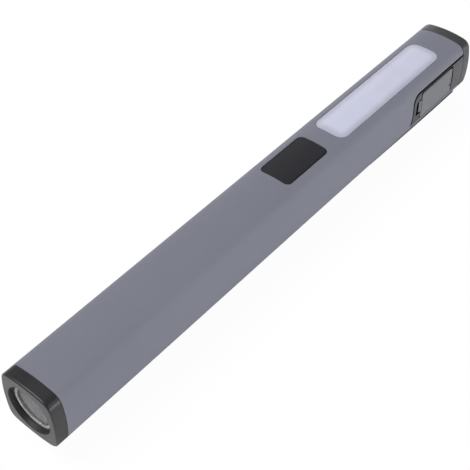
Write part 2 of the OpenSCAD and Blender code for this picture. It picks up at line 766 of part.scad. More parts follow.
module strip_board() {
    placed() color([0.85, 0.85, 0.86])
        top_bar(strip_x0 - flange_rim, strip_x1 + flange_rim, stack_half_width - slide_gap, 0.8,
                strip_level, strip_level + strip_board_thickness);
}

module strip_phosphor() {
    z0 = strip_level + strip_board_thickness;
    placed() color([0.95, 0.85, 0.3])
        top_bar(strip_x0 + 3, strip_x1 - 3, phosphor_width / 2, phosphor_width / 2 - 0.2, z0,
                z0 + phosphor_height);
}

module strip_leads() {
    placed() color([0.75, 0.1, 0.1]) for (s = [-1, 1])
        translate([strip_x0 + 2.2 * lead_diameter, s * 3.6 * lead_diameter, board_level])
            cylinder(h = strip_level - board_level, r = lead_diameter / 2);
}

// Tail cap: crowned block, hollow, with a skirt that seats on the chassis
module rear_cap() {
    skirt_x0 = seam_rear - 2.1;
    placed() color([0.27, 0.27, 0.29]) difference() {
        union() {
            soft_block(total_length, seam_rear, rear_edge_radius);
            difference() {
                body_bar(skirt_x0, seam_rear + 0.5, wall + slide_gap);
                box(skirt_x0 - 1, seam_rear, -body_width, bezel_inner_y + mould_gap, -body_height, body_height);
            }
        }
        body_bar(skirt_x0 - 1, total_length - rear_face_wall, wall + slide_gap + rear_skirt_wall);
    }
}

// Insert that fills the side notch: crowned outside, rim behind the wall, pocket for the flap
module port_bezel() {
    end_x = seam_rear - slide_gap;
    pocket = soft_rect(flap_x0 - flap_gap, flap_x1 + 1.5 * flap_gap,
                       flap_centre - flap_height / 2 - flap_gap, flap_centre + flap_height / 2 + flap_gap,
                       [flap_corner, pocket_rear_corner, pocket_rear_corner, flap_corner]);
    recess_half = lip_width / 2 + 1.5 * flap_gap;
    recess = soft_rect(flap_x0 - recess_length, flap_x0 + 0.6, flap_centre - recess_half,
                       flap_centre + recess_half, [0.4, 0.1, 0.1, 0.4]);
    rim = soft_rect(notch_x0 - flange_rim, end_x, -notch_bottom - flange_rim, notch_top + 0.4,
                    [0.5, 0.05, 0.05, notch_corner]);
    mouth = soft_rect(socket_x - socket_width / 2 - mould_gap, socket_x + socket_width / 2 + mould_gap,
                      socket_z - socket_height / 2 - mould_gap, socket_z + socket_height / 2 + mould_gap,
                      [1.2, 1.2, 1.2, 1.2]);
    placed() color([0.3, 0.3, 0.32]) difference() {
        union() {
            intersection() {
                body_bar(notch_x0, end_x);
                side_bar(notch(1.5 * mould_gap, end_x), -body_width, bezel_inner_y);
            }
            intersection() {
                body_bar(notch_x0 - 2, end_x, wall + slide_gap);
                side_bar(rim, -body_width, bezel_inner_y);
            }
        }
        side_bar(pocket, -body_width, pocket_y);
        side_bar(recess, -body_width, pocket_y + recess_depth);
        side_bar(mouth, -body_width, 0);
        box(hinge_x - 0.6, hinge_x + 0.6, -body_width, 0, flap_centre - strap_height / 2 - slide_gap,
            flap_centre + strap_height / 2 + slide_gap);
    }
}

// Rubber cover: crowned face, hinge barrels at the rear, pull lip in front, plug for the socket
module port_flap() {
    z0 = flap_centre - flap_height / 2;
    z1 = flap_centre + flap_height / 2;
    strap_gap = strap_height / 2 + 2 * slide_gap;
    inner_y = pocket_y - slide_gap;
    plug_half = socket_width / 2 - socket_wall - 2 * mould_gap;
    plug_rise = socket_height / 2 - socket_wall - mould_gap;
    barrel = flap_height / 2 - strap_gap;
    outline = soft_rect(flap_x0, flap_x1, z0, z1,
                        [flap_corner, flap_rear_corner, flap_rear_corner, flap_corner]);
    plug = soft_rect(socket_x - plug_half, socket_x + plug_half, socket_z - plug_rise, socket_z + plug_rise,
                     [0.9, 0.9, 0.9, 0.9]);
    placed() color([0.52, 0.54, 0.54]) union() {
        intersection() {
            union() {
                difference() {
                    body_bar(flap_x0 - 1, hinge_x, -flap_proud);
                    box(hinge_x - hinge_radius - 2 * slide_gap, hinge_x + 1, -body_width, 0,
                        flap_centre - strap_gap, flap_centre + strap_gap);
                }
                for (s = [-1, 1])
                    translate([hinge_x, hinge_y, flap_centre + (s > 0 ? strap_gap : -strap_gap - barrel)])
                        cylinder(h = barrel, r = hinge_radius);
            }
            side_bar(outline, -body_width, inner_y);
            body_bar(flap_x0 - 1, flap_x1 + 1, -flap_proud);
        }
        side_bar(plug, inner_y - 0.2, socket_mouth_y + 0.6);
        translate([0, 0, flap_centre - lip_width / 2])
            linear_extrude(lip_width)
                polygon([[flap_x0 + 0.4, inner_y], [flap_x0 - lip_length, inner_y],
                         [flap_x0 - lip_length, inner_y - 0.8], [flap_x0 + 0.4, inner_y - 1.05]]);
    }
}

// Fixed end of the flap: hinge knuckle, stem through the bezel and a barb behind it
module flap_strap() {
    half = strap_height / 2;
    placed() color([0.52, 0.54, 0.54]) union() {
        translate([hinge_x, hinge_y, flap_centre - half]) cylinder(h = strap_height, r = hinge_radius);
        box(hinge_x - 0.45, hinge_x + 0.45, hinge_y, bezel_inner_y + 0.3, flap_centre - half,
            flap_centre + half);
        box(hinge_x - 1.1, hinge_x + 1.1, bezel_inner_y, bezel_inner_y + 0.5, flap_centre - half,
            flap_centre + half);
    }
}

// Stamped shell, open towards the side and closed at the back
module usb_socket() {
    half = socket_width / 2;
    rise = socket_height / 2;
    shell = soft_rect(socket_x - half, socket_x + half, socket_z - rise, socket_z + rise, [1.2, 1.2, 1.2, 1.2]);
    bore = soft_rect(socket_x - half + socket_wall, socket_x + half - socket_wall,
                     socket_z - rise + socket_wall, socket_z + rise - socket_wall, [0.9, 0.9, 0.9, 0.9]);
    placed() color([0.7, 0.7, 0.72]) difference() {
        side_bar(shell, socket_mouth_y, socket_mouth_y + socket_depth);
        side_bar(bore, socket_mouth_y - 1, socket_mouth_y + socket_depth - socket_wall);
    }
}

// Contact tongue on its block inside the shell
module usb_tongue() {
    block_y = socket_mouth_y + socket_depth - socket_wall;
    fill = soft_rect(socket_x - socket_width / 2 + socket_wall + 0.02,
                     socket_x + socket_width / 2 - socket_wall - 0.02,
                     socket_z - socket_height / 2 + socket_wall + 0.02,
                     socket_z + socket_height / 2 - socket_wall - 0.02, [0.9, 0.9, 0.9, 0.9]);
    placed() color([0.1, 0.1, 0.1]) union() {
        side_bar(fill, block_y - 2, block_y);
        box(socket_x - tongue_width / 2, socket_x + tongue_width / 2, socket_mouth_y + 1, block_y - 1,
            socket_z - tongue_thickness / 2, socket_z + tongue_thickness / 2);
    }
}

// Block between the clip and the crowned underside
module clip_spacer() {
    placed() color([0.1, 0.1, 0.11]) difference() {
        box(spacer_x0, spacer_x1, -spacer_width / 2, spacer_width / 2, clip_inner_z, underside + 1);
        body_bar(spacer_x0 - 1, spacer_x1 + 1);
        for (x = clip_screw_x)
            translate([x, 0, -body_height]) cylinder(h = body_height, r = screw_radius + mould_gap);
    }
}

// Screwed-down end of the clip, hollowed at the line where the arm bends
module clip_plate() {
    half = clip_width / 2;
    plate = soft_rect(clip_hinge_x, clip_x1, -half, half, [0.05, clip_corner, clip_corner, 0.05]);
    placed() color([0.12, 0.12, 0.13]) difference() {
        translate([0, 0, clip_outer_z]) linear_extrude(clip_thickness) polygon(plate);
        translate([clip_hinge_x, half + 1, clip_middle_z]) rotate([90, 0, 0])
            cylinder(h = clip_width + 2, r = clip_thickness / 2 + clip_hinge_gap);
        for (x = clip_screw_x)
            translate([x, 0, clip_outer_z - 0.01])
                cylinder(h = clip_thickness + 0.02, r1 = screw_head_radius + mould_gap,
                         r2 = screw_radius + mould_gap);
    }
}

// Height of the clip arm's middle line: keeps beside the housing, bends up to touch it, comes away
function arm_rise(u) =
    let (bend_start = 0.8, bend_top = (1 + bend_start) / 2,
         fall = clip_gap - clip_bend_height - mould_gap,
         turn = 360 * max(0, u - bend_start) / (1 - bend_start))
    fall * pow(min(1, u / bend_top), 2) + clip_bend_height * (1 - cos(turn)) / 2;

// Free arm: sheet that follows arm_rise and narrows to a rounded tip
module clip_arm() {
    steps = 60;
    half_root = clip_width / 2;
    half_tip = clip_tip_width / 2;
    t = clip_thickness / 2;
    middle = [for (i = [0:steps]) let (u = i / steps)
              [clip_hinge_x - u * clip_arm_length, clip_middle_z + arm_rise(u)]];
    side = [for (i = [0:steps]) let (d = i == 0 ? [-1, 0] : middle[i] - middle[i - 1]) [-d[1], d[0]] / norm(d)];
    sheet = concat([for (i = [0:steps]) middle[i] + t * side[i]],
                   [for (i = [steps:-1:0]) middle[i] - t * side[i]]);
    plan = concat([[clip_hinge_x, -half_root], [clip_hinge_x, half_root]],
                  arc(clip_tip_x + clip_corner, half_tip - clip_corner, clip_corner, 90, 180, 6),
                  arc(clip_tip_x + clip_corner, -half_tip + clip_corner, clip_corner, 180, 270, 6));
    placed() color([0.12, 0.12, 0.13]) union() {
        intersection() {
            translate([0, half_root + 1, 0]) rotate([90, 0, 0]) linear_extrude(clip_width + 2) polygon(sheet);
            translate([0, 0, clip_outer_z - 1]) linear_extrude(clip_gap + clip_thickness + 4) polygon(plan);
        }
        translate([clip_hinge_x, half_root, clip_middle_z]) rotate([90, 0, 0])
            cylinder(h = clip_width, r = t);
    }
}

module clip_screws() {
    placed() color([0.15, 0.15, 0.16]) for (x = clip_screw_x) difference() {
        union() {
            translate([x, 0, clip_outer_z])
                cylinder(h = clip_thickness, r1 = screw_head_radius, r2 = screw_radius);
            translate([x, 0, clip_outer_z]) cylinder(h = clip_screw_top - clip_outer_z - 0.1, r = screw_radius);
        }
        for (a = [0, 90]) translate([x, 0, clip_outer_z]) rotate([0, 0, a]) cube([2, 0.4, 0.8], center = true);
    }
}

housing();
front_cap();
lens_seal();
front_lens();
reflector();
spot_led();
led_board();
heat_sink();
lamp_leads();
cell_pad();
battery_cell();
cell_tab();
cell_guard_board();
cell_leads();
chassis();
main_board();
board_parts();
board_screws();
tact_switch();
switch_plunger();
power_button();
strip_diffuser();
strip_tray();
strip_board();
strip_phosphor();
strip_leads();
rear_cap();
port_bezel();
port_flap();
flap_strap();
usb_socket();
usb_tongue();
clip_spacer();
clip_plate();
clip_arm();
clip_screws();
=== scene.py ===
import json
import math
import bpy
from mathutils import Matrix, Vector

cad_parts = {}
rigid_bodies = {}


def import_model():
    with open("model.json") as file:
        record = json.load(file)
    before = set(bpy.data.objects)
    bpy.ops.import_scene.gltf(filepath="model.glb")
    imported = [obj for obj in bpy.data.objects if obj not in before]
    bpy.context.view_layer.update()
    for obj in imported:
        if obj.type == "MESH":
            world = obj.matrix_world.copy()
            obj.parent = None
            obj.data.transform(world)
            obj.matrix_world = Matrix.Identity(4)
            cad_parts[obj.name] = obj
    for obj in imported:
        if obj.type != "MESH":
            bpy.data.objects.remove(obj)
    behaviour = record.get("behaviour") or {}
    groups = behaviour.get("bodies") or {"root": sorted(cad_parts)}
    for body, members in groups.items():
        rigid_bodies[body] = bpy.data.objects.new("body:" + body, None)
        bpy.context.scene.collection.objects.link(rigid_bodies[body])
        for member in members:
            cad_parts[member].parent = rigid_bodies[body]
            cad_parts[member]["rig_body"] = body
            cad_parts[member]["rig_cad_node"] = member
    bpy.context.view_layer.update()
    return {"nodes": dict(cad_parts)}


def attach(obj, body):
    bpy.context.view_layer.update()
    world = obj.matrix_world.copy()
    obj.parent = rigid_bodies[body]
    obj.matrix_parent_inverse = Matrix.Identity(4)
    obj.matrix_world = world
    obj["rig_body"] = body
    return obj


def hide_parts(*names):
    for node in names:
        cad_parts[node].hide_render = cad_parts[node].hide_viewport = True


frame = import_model()
nodes = frame["nodes"]

# Sizes of the pen light in millimetres. Stations run from the nose at 0 to the tail,
# heights from the tube's axis. set_down() turns them into metres in the frame.
MM = 0.001
LENGTH = 170.0
AXIS_HEIGHT = 11.65
WIDTH = 16.9
HEIGHT = 17.3
CROWN = 1.1
CORNER = 2.9
WALL = 1.2
FIT = 0.05
SIDE_ARC = ((HEIGHT / 2) ** 2 + CROWN ** 2) / (2 * CROWN)
TOP_ARC = ((WIDTH / 2) ** 2 + CROWN ** 2) / (2 * CROWN)

# Caps
NOSE_SEAM = 3.5
TAIL_SEAM = 166.2
SEAM_GAP = 0.04
TAIL_SEAM_GAP = 0.09
NOSE_SLEEVE_END = 15.0
NOSE_EDGE = 0.5
TAIL_EDGE = 0.9
TAIL_FACE = 1.6
TAIL_SKIRT = 2.1
SKIRT_DEPTH = 1.05

# Spot lamp
MOUTH_RADIUS = 6.7
OPENING_RADIUS = 6.35
LAMP_BORE = 6.75
NOSE_LIP = 1.1
LENS_FRONT = 1.4
LENS_BACK = 2.2
LENS_RADIUS = 5.9
LENS_BEVEL = 0.6
DOME_RISE = 0.35
MIRROR_RADIUS = 5.7
HOLE_RADIUS = 1.9
REFLECTOR_BACK = 10.9
REFLECTOR_FOOT = 0.7
CUP_WALL = 0.6
LAMP_ROOM = 2.54

# Windows in the lamp face: both stations, half the width and the corner radius
BUTTON = (86.6, 104.05, 4.775, 1.5)
STRIP = (109.75, 157.9, 5.025, 2.6)
BUTTON_GAP = 0.13
STRIP_GAP = 0.08
RIM_WIDTH = 0.95
POST_RADIUS = 2.2
POST_FOOT = 5.62

# Notch in the side at the tail: station, both heights and the upper corner's radius
NOTCH = (140.0, -5.4, 5.4, 3.0)
NOTCH_FOOT_CORNER = 0.5
INSERT_SET_BACK = 0.5
INSERT_TOP_GAP = 0.62

# Flap over the socket: both stations and both heights. Corners go low-low, high-low,
# high-high and low-high.
FLAP = (144.3, 160.5, -4.6, 4.4)
FLAP_TRIM = (0.1, 0.15)
FLAP_CORNERS = (1, 1.4, 1.5, 1.2)
FLAP_CENTRE = -0.1
FLAP_PROUD = 0.15
FLAP_ROOM = 0.22
FLAP_REAR_ROOM = 0.26
FLAP_TOP_ROOM = 0.3
POCKET_CORNERS = (1, 0.9, 0.9, 1)
POCKET_Y = 1.3 - WIDTH / 2
BEZEL_INNER_Y = 2.3 - WIDTH / 2
LIP_HALF = 1.95
LIP_REACH = 1.0
LIP_THICK = 1.3
LIP_TAPER = 0.4
FINGER_REACH = 2.6
FINGER_CORNERS = (0.4, 0, 0, 1.2)
HINGE_RADIUS = 0.65
STRAP_HALF = 1.55
STRAP_ROOM = 1.6
SOCKET_X = 151.575
SOCKET_Z = -0.07
MOUTH_HALF = (4.57, 1.73)
MOUTH_CORNER = 1.2
PLUG_HALF = (3.97, 1.23)
PLUG_CORNER = 0.9
PLUG_END_Y = -6.45

# Contacts on the socket's tongue: their ends across, and their heights over its middle
CONTACTS = 12
CONTACT_PITCH = 0.5
CONTACT_HALF = 0.13
CONTACT_Y = (-5.9, -4.1)
CONTACT_Z = (0.345, 0.39)

# Pocket clip under the tail
CLIP_SCREWS = (156.6, 161.85)
SCREW_WAY = 1.05
SCREW_HEAD = 1.85
CLIP_HINGE_X = 154.0
CLIP_ARM = 36.0
CLIP_WIDTH = 10.5
CLIP_TIP_WIDTH = 10.0
CLIP_CORNER = 2.2
CLIP_END_CORNER = 1.1
CLIP_SHEET = 0.8
CLIP_MIDDLE = -11.25
CLIP_SAG = 0.35
CLIP_NIP = 1.75
CLIP_TO_END = 0.4
# Where along the arm, from 0 to 1, its sag ends and its nip starts, and how long the nip is
SAG_END = 0.9
NIP_START = 0.8
NIP_SHARE = 0.2

# The floor lies below the base plane, so that the flexed clip stays in sight. The glow is the
# share of plain white that it shows.
FLOOR_Z = -2.7
FLOOR_GLOW = 0.955

# The photograph's camera, found by matching its outlines
CAMERA_PLACE = (-79.46, -128.67, 202.55)
CAMERA_RIGHT = (0.6419, -0.7667, -0.0101)
CAMERA_AHEAD = (0.5307, 0.4537, -0.7159)
FRAME_WIDTH = 36.0
FOCAL_LENGTH = 85.01

# How finely round shapes are divided, up to what angle in degrees an edge is smooth, and how
# close in metres two places count as one
FACE_STEPS = 10
BEND_STEPS = 12
CORNER_STEPS = 8
ROD_SIDES = 48
TURN_STEPS = 96
DOME_STEPS = 12
BOWL_STEPS = 24
SMOOTH_ANGLE = 40
NEAR = 0.001 * MM


def set_down(x, y, z):
    """The place in the frame of a station, a distance across and a height."""
    return Vector(((x - LENGTH / 2) * MM, y * MM, (z + AXIS_HEIGHT) * MM))


# Working by hand: selecting, shaping and finishing


def rest_hands():
    """Leaves edit mode with nothing selected."""
    if bpy.context.object and bpy.context.object.mode != "OBJECT":
        bpy.ops.object.mode_set(mode="OBJECT")
    bpy.ops.object.select_all(action="DESELECT")


def take(obj):
    """Selects one object and makes it the active one."""
    rest_hands()
    obj.select_set(True)
    bpy.context.view_layer.objects.active = obj


def named(name):
    """Names the piece that was just made."""
    obj = bpy.context.active_object
    obj.name = obj.data.name = name
    return obj


def into_edit(obj, part="FACE", test=None):
    """Opens the mesh with the parts selected that test says, or with everything."""
    take(obj)
    mesh = obj.data
    kinds = {"VERT": mesh.vertices, "EDGE": mesh.edges, "FACE": mesh.polygons}
    bpy.context.tool_settings.mesh_select_mode = tuple(kind == part for kind in kinds)
    for items in kinds.values():
        items.foreach_set("select", [False] * len(items))
    if test:
        for item in kinds[part]:
            item.select = test(item)
    bpy.ops.object.mode_set(mode="EDIT")
    if not test:
        bpy.ops.mesh.select_all(action="SELECT")


def out_of_edit():
    bpy.ops.object.mode_set(mode="OBJECT")


def pull(obj, way):
    """Extrudes a flat piece one way and turns the normals outward."""
    into_edit(obj)
    bpy.ops.mesh.extrude_region_move(TRANSFORM_OT_translate={"value": way})
    bpy.ops.mesh.select_all(action="SELECT")
    bpy.ops.mesh.normals_make_consistent(inside=False)
    out_of_edit()
    return obj


def settle(obj):
    """Puts the piece's place into its mesh, so that its object sits at the origin."""
    take(obj)
    bpy.ops.object.transform_apply(location=True, rotation=True, scale=True)
    return obj


def carve(obj, tool, how="DIFFERENCE"):
    """Cuts, joins or limits a piece with a tool, which is used up."""
    take(obj)
    cut = obj.modifiers.new("carve", "BOOLEAN")
    cut.operation = how
    cut.solver = "EXACT"
    cut.object = tool
    bpy.ops.object.modifier_apply(modifier=cut.name)
    bpy.data.objects.remove(tool)


def joined(obj, *others):
    """Several closed shells kept in one piece."""
    take(obj)
    for other in others:
        other.select_set(True)
    bpy.ops.object.join()
    return obj


def soften(obj, width, segments=3, angle=32):
    """Rounds the sharp edges and shades the piece by its large faces."""
    into_edit(obj)
    bpy.ops.mesh.remove_doubles(threshold=0.004 * MM)
    out_of_edit()
    edge = obj.modifiers.new("round", "BEVEL")
    edge.width = width * MM
    edge.segments = segments
    edge.limit_method = "ANGLE"
    edge.angle_limit = math.radians(angle)
    edge.use_clamp_overlap = False
    edge.miter_outer = "MITER_ARC"
    bpy.ops.object.modifier_apply(modifier=edge.name)
    return shade(obj)


def shade(obj):
    """Smooths the piece, with its normals led by the large faces."""
    take(obj)
    bpy.ops.object.shade_smooth_by_angle(angle=math.radians(SMOOTH_ANGLE))
    even = obj.modifiers.new("even", "WEIGHTED_NORMAL")
    even.keep_sharp = True
    even.weight = 80
    bpy.ops.object.modifier_apply(modifier=even.name)
    return obj


def finished(obj, body, slot, material, *stands_for):
    """Gives a piece its material and body, and hides the solids that it stands for. slot is not used."""
    settle(obj)
    obj.data.materials.clear()
    obj.data.materials.append(material)
    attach(obj, body)
    if stands_for:
        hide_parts(*stands_for)


def paint_gap_shade(obj, in_shade):
    """Paints dead black, as painted shade, the faces for which the given test of (x, y, z, turned_out) is
    true.
    The place is in millimetres; turned_out is how squarely the face looks out of the side."""
    obj.data.materials.append(GAP_SHADE)
    for face in obj.data.polygons:
        x, y, z = (c / MM for c in face.center)
        if in_shade(x + LENGTH / 2, y, z - AXIS_HEIGHT, abs(face.normal.y)):
            face.material_index = 1


# The crowned section that every outer piece shares


def below_side(y, z):
    """How far a point lies under the crowned side."""
    return y + WIDTH / 2 - z * z / (2 * SIDE_ARC)


def arc(cy, cz, radius, start, end, steps, first=0):
    """Points on an arc about (cy, cz), from the step called first on."""
    turns = [start + (end - start) * i / steps for i in range(first, steps + 1)]
    return [(cy + radius * math.cos(t), cz + radius * math.sin(t)) for t in turns]


def section(inset):
    """The crowned section, inset evenly: a quarter of three arcs that meet smoothly, mirrored twice."""
    side_centre = WIDTH / 2 - SIDE_ARC
    top_centre = HEIGHT / 2 - TOP_ARC
    gap = math.hypot(side_centre, top_centre)
    side_reach = SIDE_ARC - CORNER
    top_reach = TOP_ARC - CORNER
    foot = (side_reach ** 2 - top_reach ** 2 + gap ** 2) / (2 * gap)
    rise = math.sqrt(side_reach ** 2 - foot ** 2)
    corner_y = side_centre - foot * side_centre / gap - rise * top_centre / gap
    corner_z = foot * top_centre / gap - rise * side_centre / gap
    side_end = math.atan2(corner_z, corner_y - side_centre)
    corner_end = math.atan2(corner_z - top_centre, corner_y)
    quarter = arc(side_centre, 0, SIDE_ARC - inset, 0, side_end, FACE_STEPS)
    quarter += arc(corner_y, corner_z, CORNER - inset, side_end, corner_end, BEND_STEPS, 1)
    quarter += arc(0, top_centre, TOP_ARC - inset, corner_end, math.pi / 2, FACE_STEPS, 1)
    last = len(quarter) - 1
    outline = quarter[:last]
    outline += [(-y, z) for y, z in quarter[:0:-1]]
    outline += [(-y, -z) for y, z in quarter[:last]]
    return outline + [(y, -z) for y, z in quarter[:0:-1]]


def crowned_bar(name, x0, x1, inset=0.0):
    """A circle laid onto the crowned section, stood upright and pulled along the light."""
    outline = section(inset)
    rest_hands()
    bpy.ops.mesh.primitive_circle_add(vertices=len(outline), radius=WIDTH / 2 * MM, fill_type="NGON")
    obj = named(name)
    for vertex, (y, z) in zip(obj.data.vertices, outline):
        vertex.co = set_down(x0, y, z)
    return pull(obj, ((x1 - x0) * MM, 0, 0))


def rounded_plane(name, size, corners, place, turn=(0, 0, 0)):
    """A plane with its corners rounded. corners are radii for low-low, high-low, high-high
    and low-high; turn stands it upright."""
    rest_hands()
    bpy.ops.mesh.primitive_plane_add(size=1, location=(0, 0, 0))
    obj = named(name)
    into_edit(obj)
    bpy.ops.transform.resize(value=(size[0] * MM, size[1] * MM, 1))
    out_of_edit()
    wanted = ((-1, -1), (1, -1), (1, 1), (-1, 1))
    for (sx, sy), radius in zip(wanted, corners):
        if radius <= 0:
            continue
        reach = Vector((sx * size[0] * MM / 2, sy * size[1] * MM / 2, 0))
        into_edit(obj, "VERT", lambda v: (v.co - reach).length < NEAR)
        bpy.ops.mesh.bevel(offset=radius * MM, segments=CORNER_STEPS, affect="VERTICES",
                           clamp_overlap=False)
        out_of_edit()
    obj.rotation_euler = turn
    obj.location = place
    return settle(obj)


def top_block(name, x0, x1, half, corner, z0, z1):
    """Upright bar with rounded corners as seen from above."""
    plane = rounded_plane(name, (x1 - x0, 2 * half), (corner,) * 4, set_down((x0 + x1) / 2, 0, z0))
    return pull(plane, (0, 0, (z1 - z0) * MM))


def side_block(name, x0, x1, z0, z1, corners, y0, y1):
    """Bar through the side of the light with rounded corners as seen from the side."""
    middle = set_down((x0 + x1) / 2, y0, (z0 + z1) / 2)
    plane = rounded_plane(name, (x1 - x0, z1 - z0), corners, middle, turn=(math.pi / 2, 0, 0))
    return pull(plane, (0, (y1 - y0) * MM, 0))


def block(name, low, high):
    """A cube set between two corners."""
    rest_hands()
    a, b = set_down(*low), set_down(*high)
    bpy.ops.mesh.primitive_cube_add(size=1, location=(a + b) / 2)
    obj = named(name)
    obj.scale = b - a
    return settle(obj)


def upright_rod(name, x, y, z0, z1, radius):
    """A rod that stands between two heights."""
    rest_hands()
    place = set_down(x, y, (z0 + z1) / 2)
    bpy.ops.mesh.primitive_cylinder_add(vertices=ROD_SIDES, radius=radius * MM, depth=(z1 - z0) * MM,
                                        location=place)
    return settle(named(name))


def across_rod(name, x, z, half, radius):
    """A rod across the light, half of it on either side of the axis."""
    rest_hands()
    bpy.ops.mesh.primitive_cylinder_add(vertices=ROD_SIDES, radius=radius * MM, depth=2 * half * MM,
                                        location=set_down(x, 0, z), rotation=(math.pi / 2, 0, 0))
    return settle(named(name))


def turned(name, profile):
    """Draws a profile of radius and station point by point and spins it about the axis."""
    rest_hands()
    bpy.ops.mesh.primitive_plane_add(size=MM)
    obj = named(name)
    into_edit(obj, "VERT")
    bpy.ops.mesh.merge(type="CENTER")
    out_of_edit()
    spots = [set_down(x, 0, radius) for radius, x in profile]
    obj.data.vertices[0].co = spots[0]
    into_edit(obj, "VERT")
    for a, b in zip(spots, spots[1:]):
        bpy.ops.mesh.extrude_region_move(TRANSFORM_OT_translate={"value": b - a})
    bpy.ops.mesh.select_all(action="SELECT")
    bpy.ops.mesh.spin(steps=TURN_STEPS, angle=math.tau, center=set_down(0, 0, 0), axis=(1, 0, 0))
    bpy.ops.mesh.select_all(action="SELECT")
    bpy.ops.mesh.remove_doubles(threshold=0.002 * MM)
    bpy.ops.mesh.normals_make_consistent(inside=False)
    out_of_edit()
    return obj


def dressed(node, name, edge, segments=2, angle=32):
    """A merged copy of a CAD solid with its edges rounded."""
    rest_hands()
    obj = nodes[node].copy()
    obj.data = nodes[node].data.copy()
    bpy.context.scene.collection.objects.link(obj)
    obj.parent = None
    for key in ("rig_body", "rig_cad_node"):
        del obj[key]
    obj.name = obj.data.name = name
    into_edit(obj)
    bpy.ops.mesh.remove_doubles(threshold=0.002 * MM)
    bpy.ops.mesh.dissolve_limited(angle_limit=math.radians(1))
    out_of_edit()
    return soften(obj, edge, segments, angle)


# Shared effects


def effect(name, inputs, outputs):
    """An empty node group, the desk to lay it out on, and its own sockets for what comes in and
    what goes out. An input that is given no value is a vector."""
    group = bpy.data.node_groups.new(name, "ShaderNodeTree")
    for label, value in inputs.items():
        kind = "NodeSocketVector" if value is None else "NodeSocketFloat"
        socket = group.interface.new_socket(label, in_out="INPUT", socket_type=kind)
        if value is not None:
            socket.default_value = value
    for label in outputs:
        group.interface.new_socket(label, in_out="OUTPUT", socket_type="NodeSocketFloat")
    desk = Desk(group)
    return group, desk, desk.add("NodeGroupInput").outputs, desk.add("NodeGroupOutput").inputs


class Desk:
    """A shorthand for laying out nodes. An input is named by its label, or by in0, in1 and so on."""

    def __init__(self, tree):
        self.tree = tree

    def add(self, kind, settings=None, **wires):
        node = self.tree.nodes.new(kind)
        for key, value in (settings or {}).items():
            setattr(node, key, value)
        for label, value in wires.items():
            self.feed(node.inputs[self.find(node, label)], value)
        return node

    @staticmethod
    def find(node, label):
        if label.startswith("in"):
            return int(label[2:])
        words = label.replace("_", " ").lower()
        for i, socket in enumerate(node.inputs):
            if socket.name.lower() == words and socket.enabled:
                return i
        raise KeyError(label + " on " + node.bl_idname)

    def feed(self, socket, value):
        if isinstance(value, bpy.types.NodeSocket):
            self.tree.links.new(value, socket)
        else:
            socket.default_value = value

    def math(self, operation, a, b=0.0, clamp=False):
        settings = {"operation": operation, "use_clamp": clamp}
        return self.add("ShaderNodeMath", settings, in0=a, in1=b).outputs[0]

    def mix(self, factor, a, b, blend="MIX"):
        node = self.add("ShaderNodeMix", {"data_type": "RGBA", "blend_type": blend})
        self.feed(node.inputs[0], factor)
        self.feed(node.inputs[6], a)
        self.feed(node.inputs[7], b)
        return node.outputs[2]

    def ramp(self, value, low, high, to_low=0.0, to_high=1.0):
        node = self.add("ShaderNodeMapRange", {"clamp": True, "interpolation_type": "SMOOTHSTEP"})
        for i, item in enumerate((value, low, high, to_low, to_high)):
            self.feed(node.inputs[i], item)
        return node.outputs[0]


def moulded_grain():
    """Fine spark-eroded grain: a height and a tone that follow each other."""
    group, desk, start, end = effect("moulded_grain", {"Vector": None, "Size": 0.2, "Drift": 0.3},
                                     ["Height", "Tone"])
    density = desk.math("DIVIDE", 1000.0, start["Size"])
    pits = desk.add("ShaderNodeTexVoronoi", {"feature": "SMOOTH_F1"}, vector=start["Vector"], scale=density)
    haze = desk.add("ShaderNodeTexNoise", vector=start["Vector"], scale=desk.math("MULTIPLY", density, 0.45),
                    detail=4.0, roughness=0.6)
    height = desk.math("ADD", pits.outputs["Distance"], haze.outputs["Fac"])
    patches = desk.add("ShaderNodeTexNoise", vector=start["Vector"], scale=55.0, detail=3.0)
    tone = desk.math("MULTIPLY", desk.math("SUBTRACT", patches.outputs["Fac"], 0.5), start["Drift"])
    fine = desk.math("MULTIPLY", desk.math("SUBTRACT", haze.outputs["Fac"], 0.5), 0.35)
    desk.feed(end["Height"], desk.math("MULTIPLY", height, 0.5))
    desk.feed(end["Tone"], desk.math("ADD", tone, fine))
    return group


def handling():
    """Faint smears and dust from handling, as two masks."""
    group, desk, start, end = effect("handling", {"Vector": None, "Amount": 0.5}, ["Smear", "Dust"])
    long_way = desk.add("ShaderNodeMapping", vector=start["Vector"], scale=(45.0, 160.0, 160.0))
    smear = desk.add("ShaderNodeTexNoise", vector=long_way.outputs[0], scale=1.0, detail=5.0, roughness=0.65)
    specks = desk.add("ShaderNodeTexNoise", vector=start["Vector"], scale=2600.0, detail=2.0)
    smeared = desk.ramp(smear.outputs["Fac"], 0.5, 0.72)
    desk.feed(end["Smear"], desk.math("MULTIPLY", smeared, start["Amount"]))
    dusty = desk.ramp(specks.outputs["Fac"], 0.72, 0.8)
    desk.feed(end["Dust"], desk.math("MULTIPLY", dusty, start["Amount"]))
    return group


def edge_highlight():
    """Mask of the edges: where a rounded normal turns away from the face's own. Highlights are painted along
    the edges through it.
    """
    group, desk, start, end = effect("edge_highlight", {"Width": 0.25}, ["Mask"])
    radius = desk.math("MULTIPLY", start["Width"], MM)
    soft = desk.add("ShaderNodeBevel", {"samples": 4}, radius=radius)
    here = desk.add("ShaderNodeNewGeometry")
    turn = desk.add("ShaderNodeVectorMath", {"operation": "DOT_PRODUCT"}, in0=soft.outputs[0],
                    in1=here.outputs["Normal"])
    desk.feed(end["Mask"], desk.ramp(turn.outputs["Value"], 0.995, 0.86))
    return group


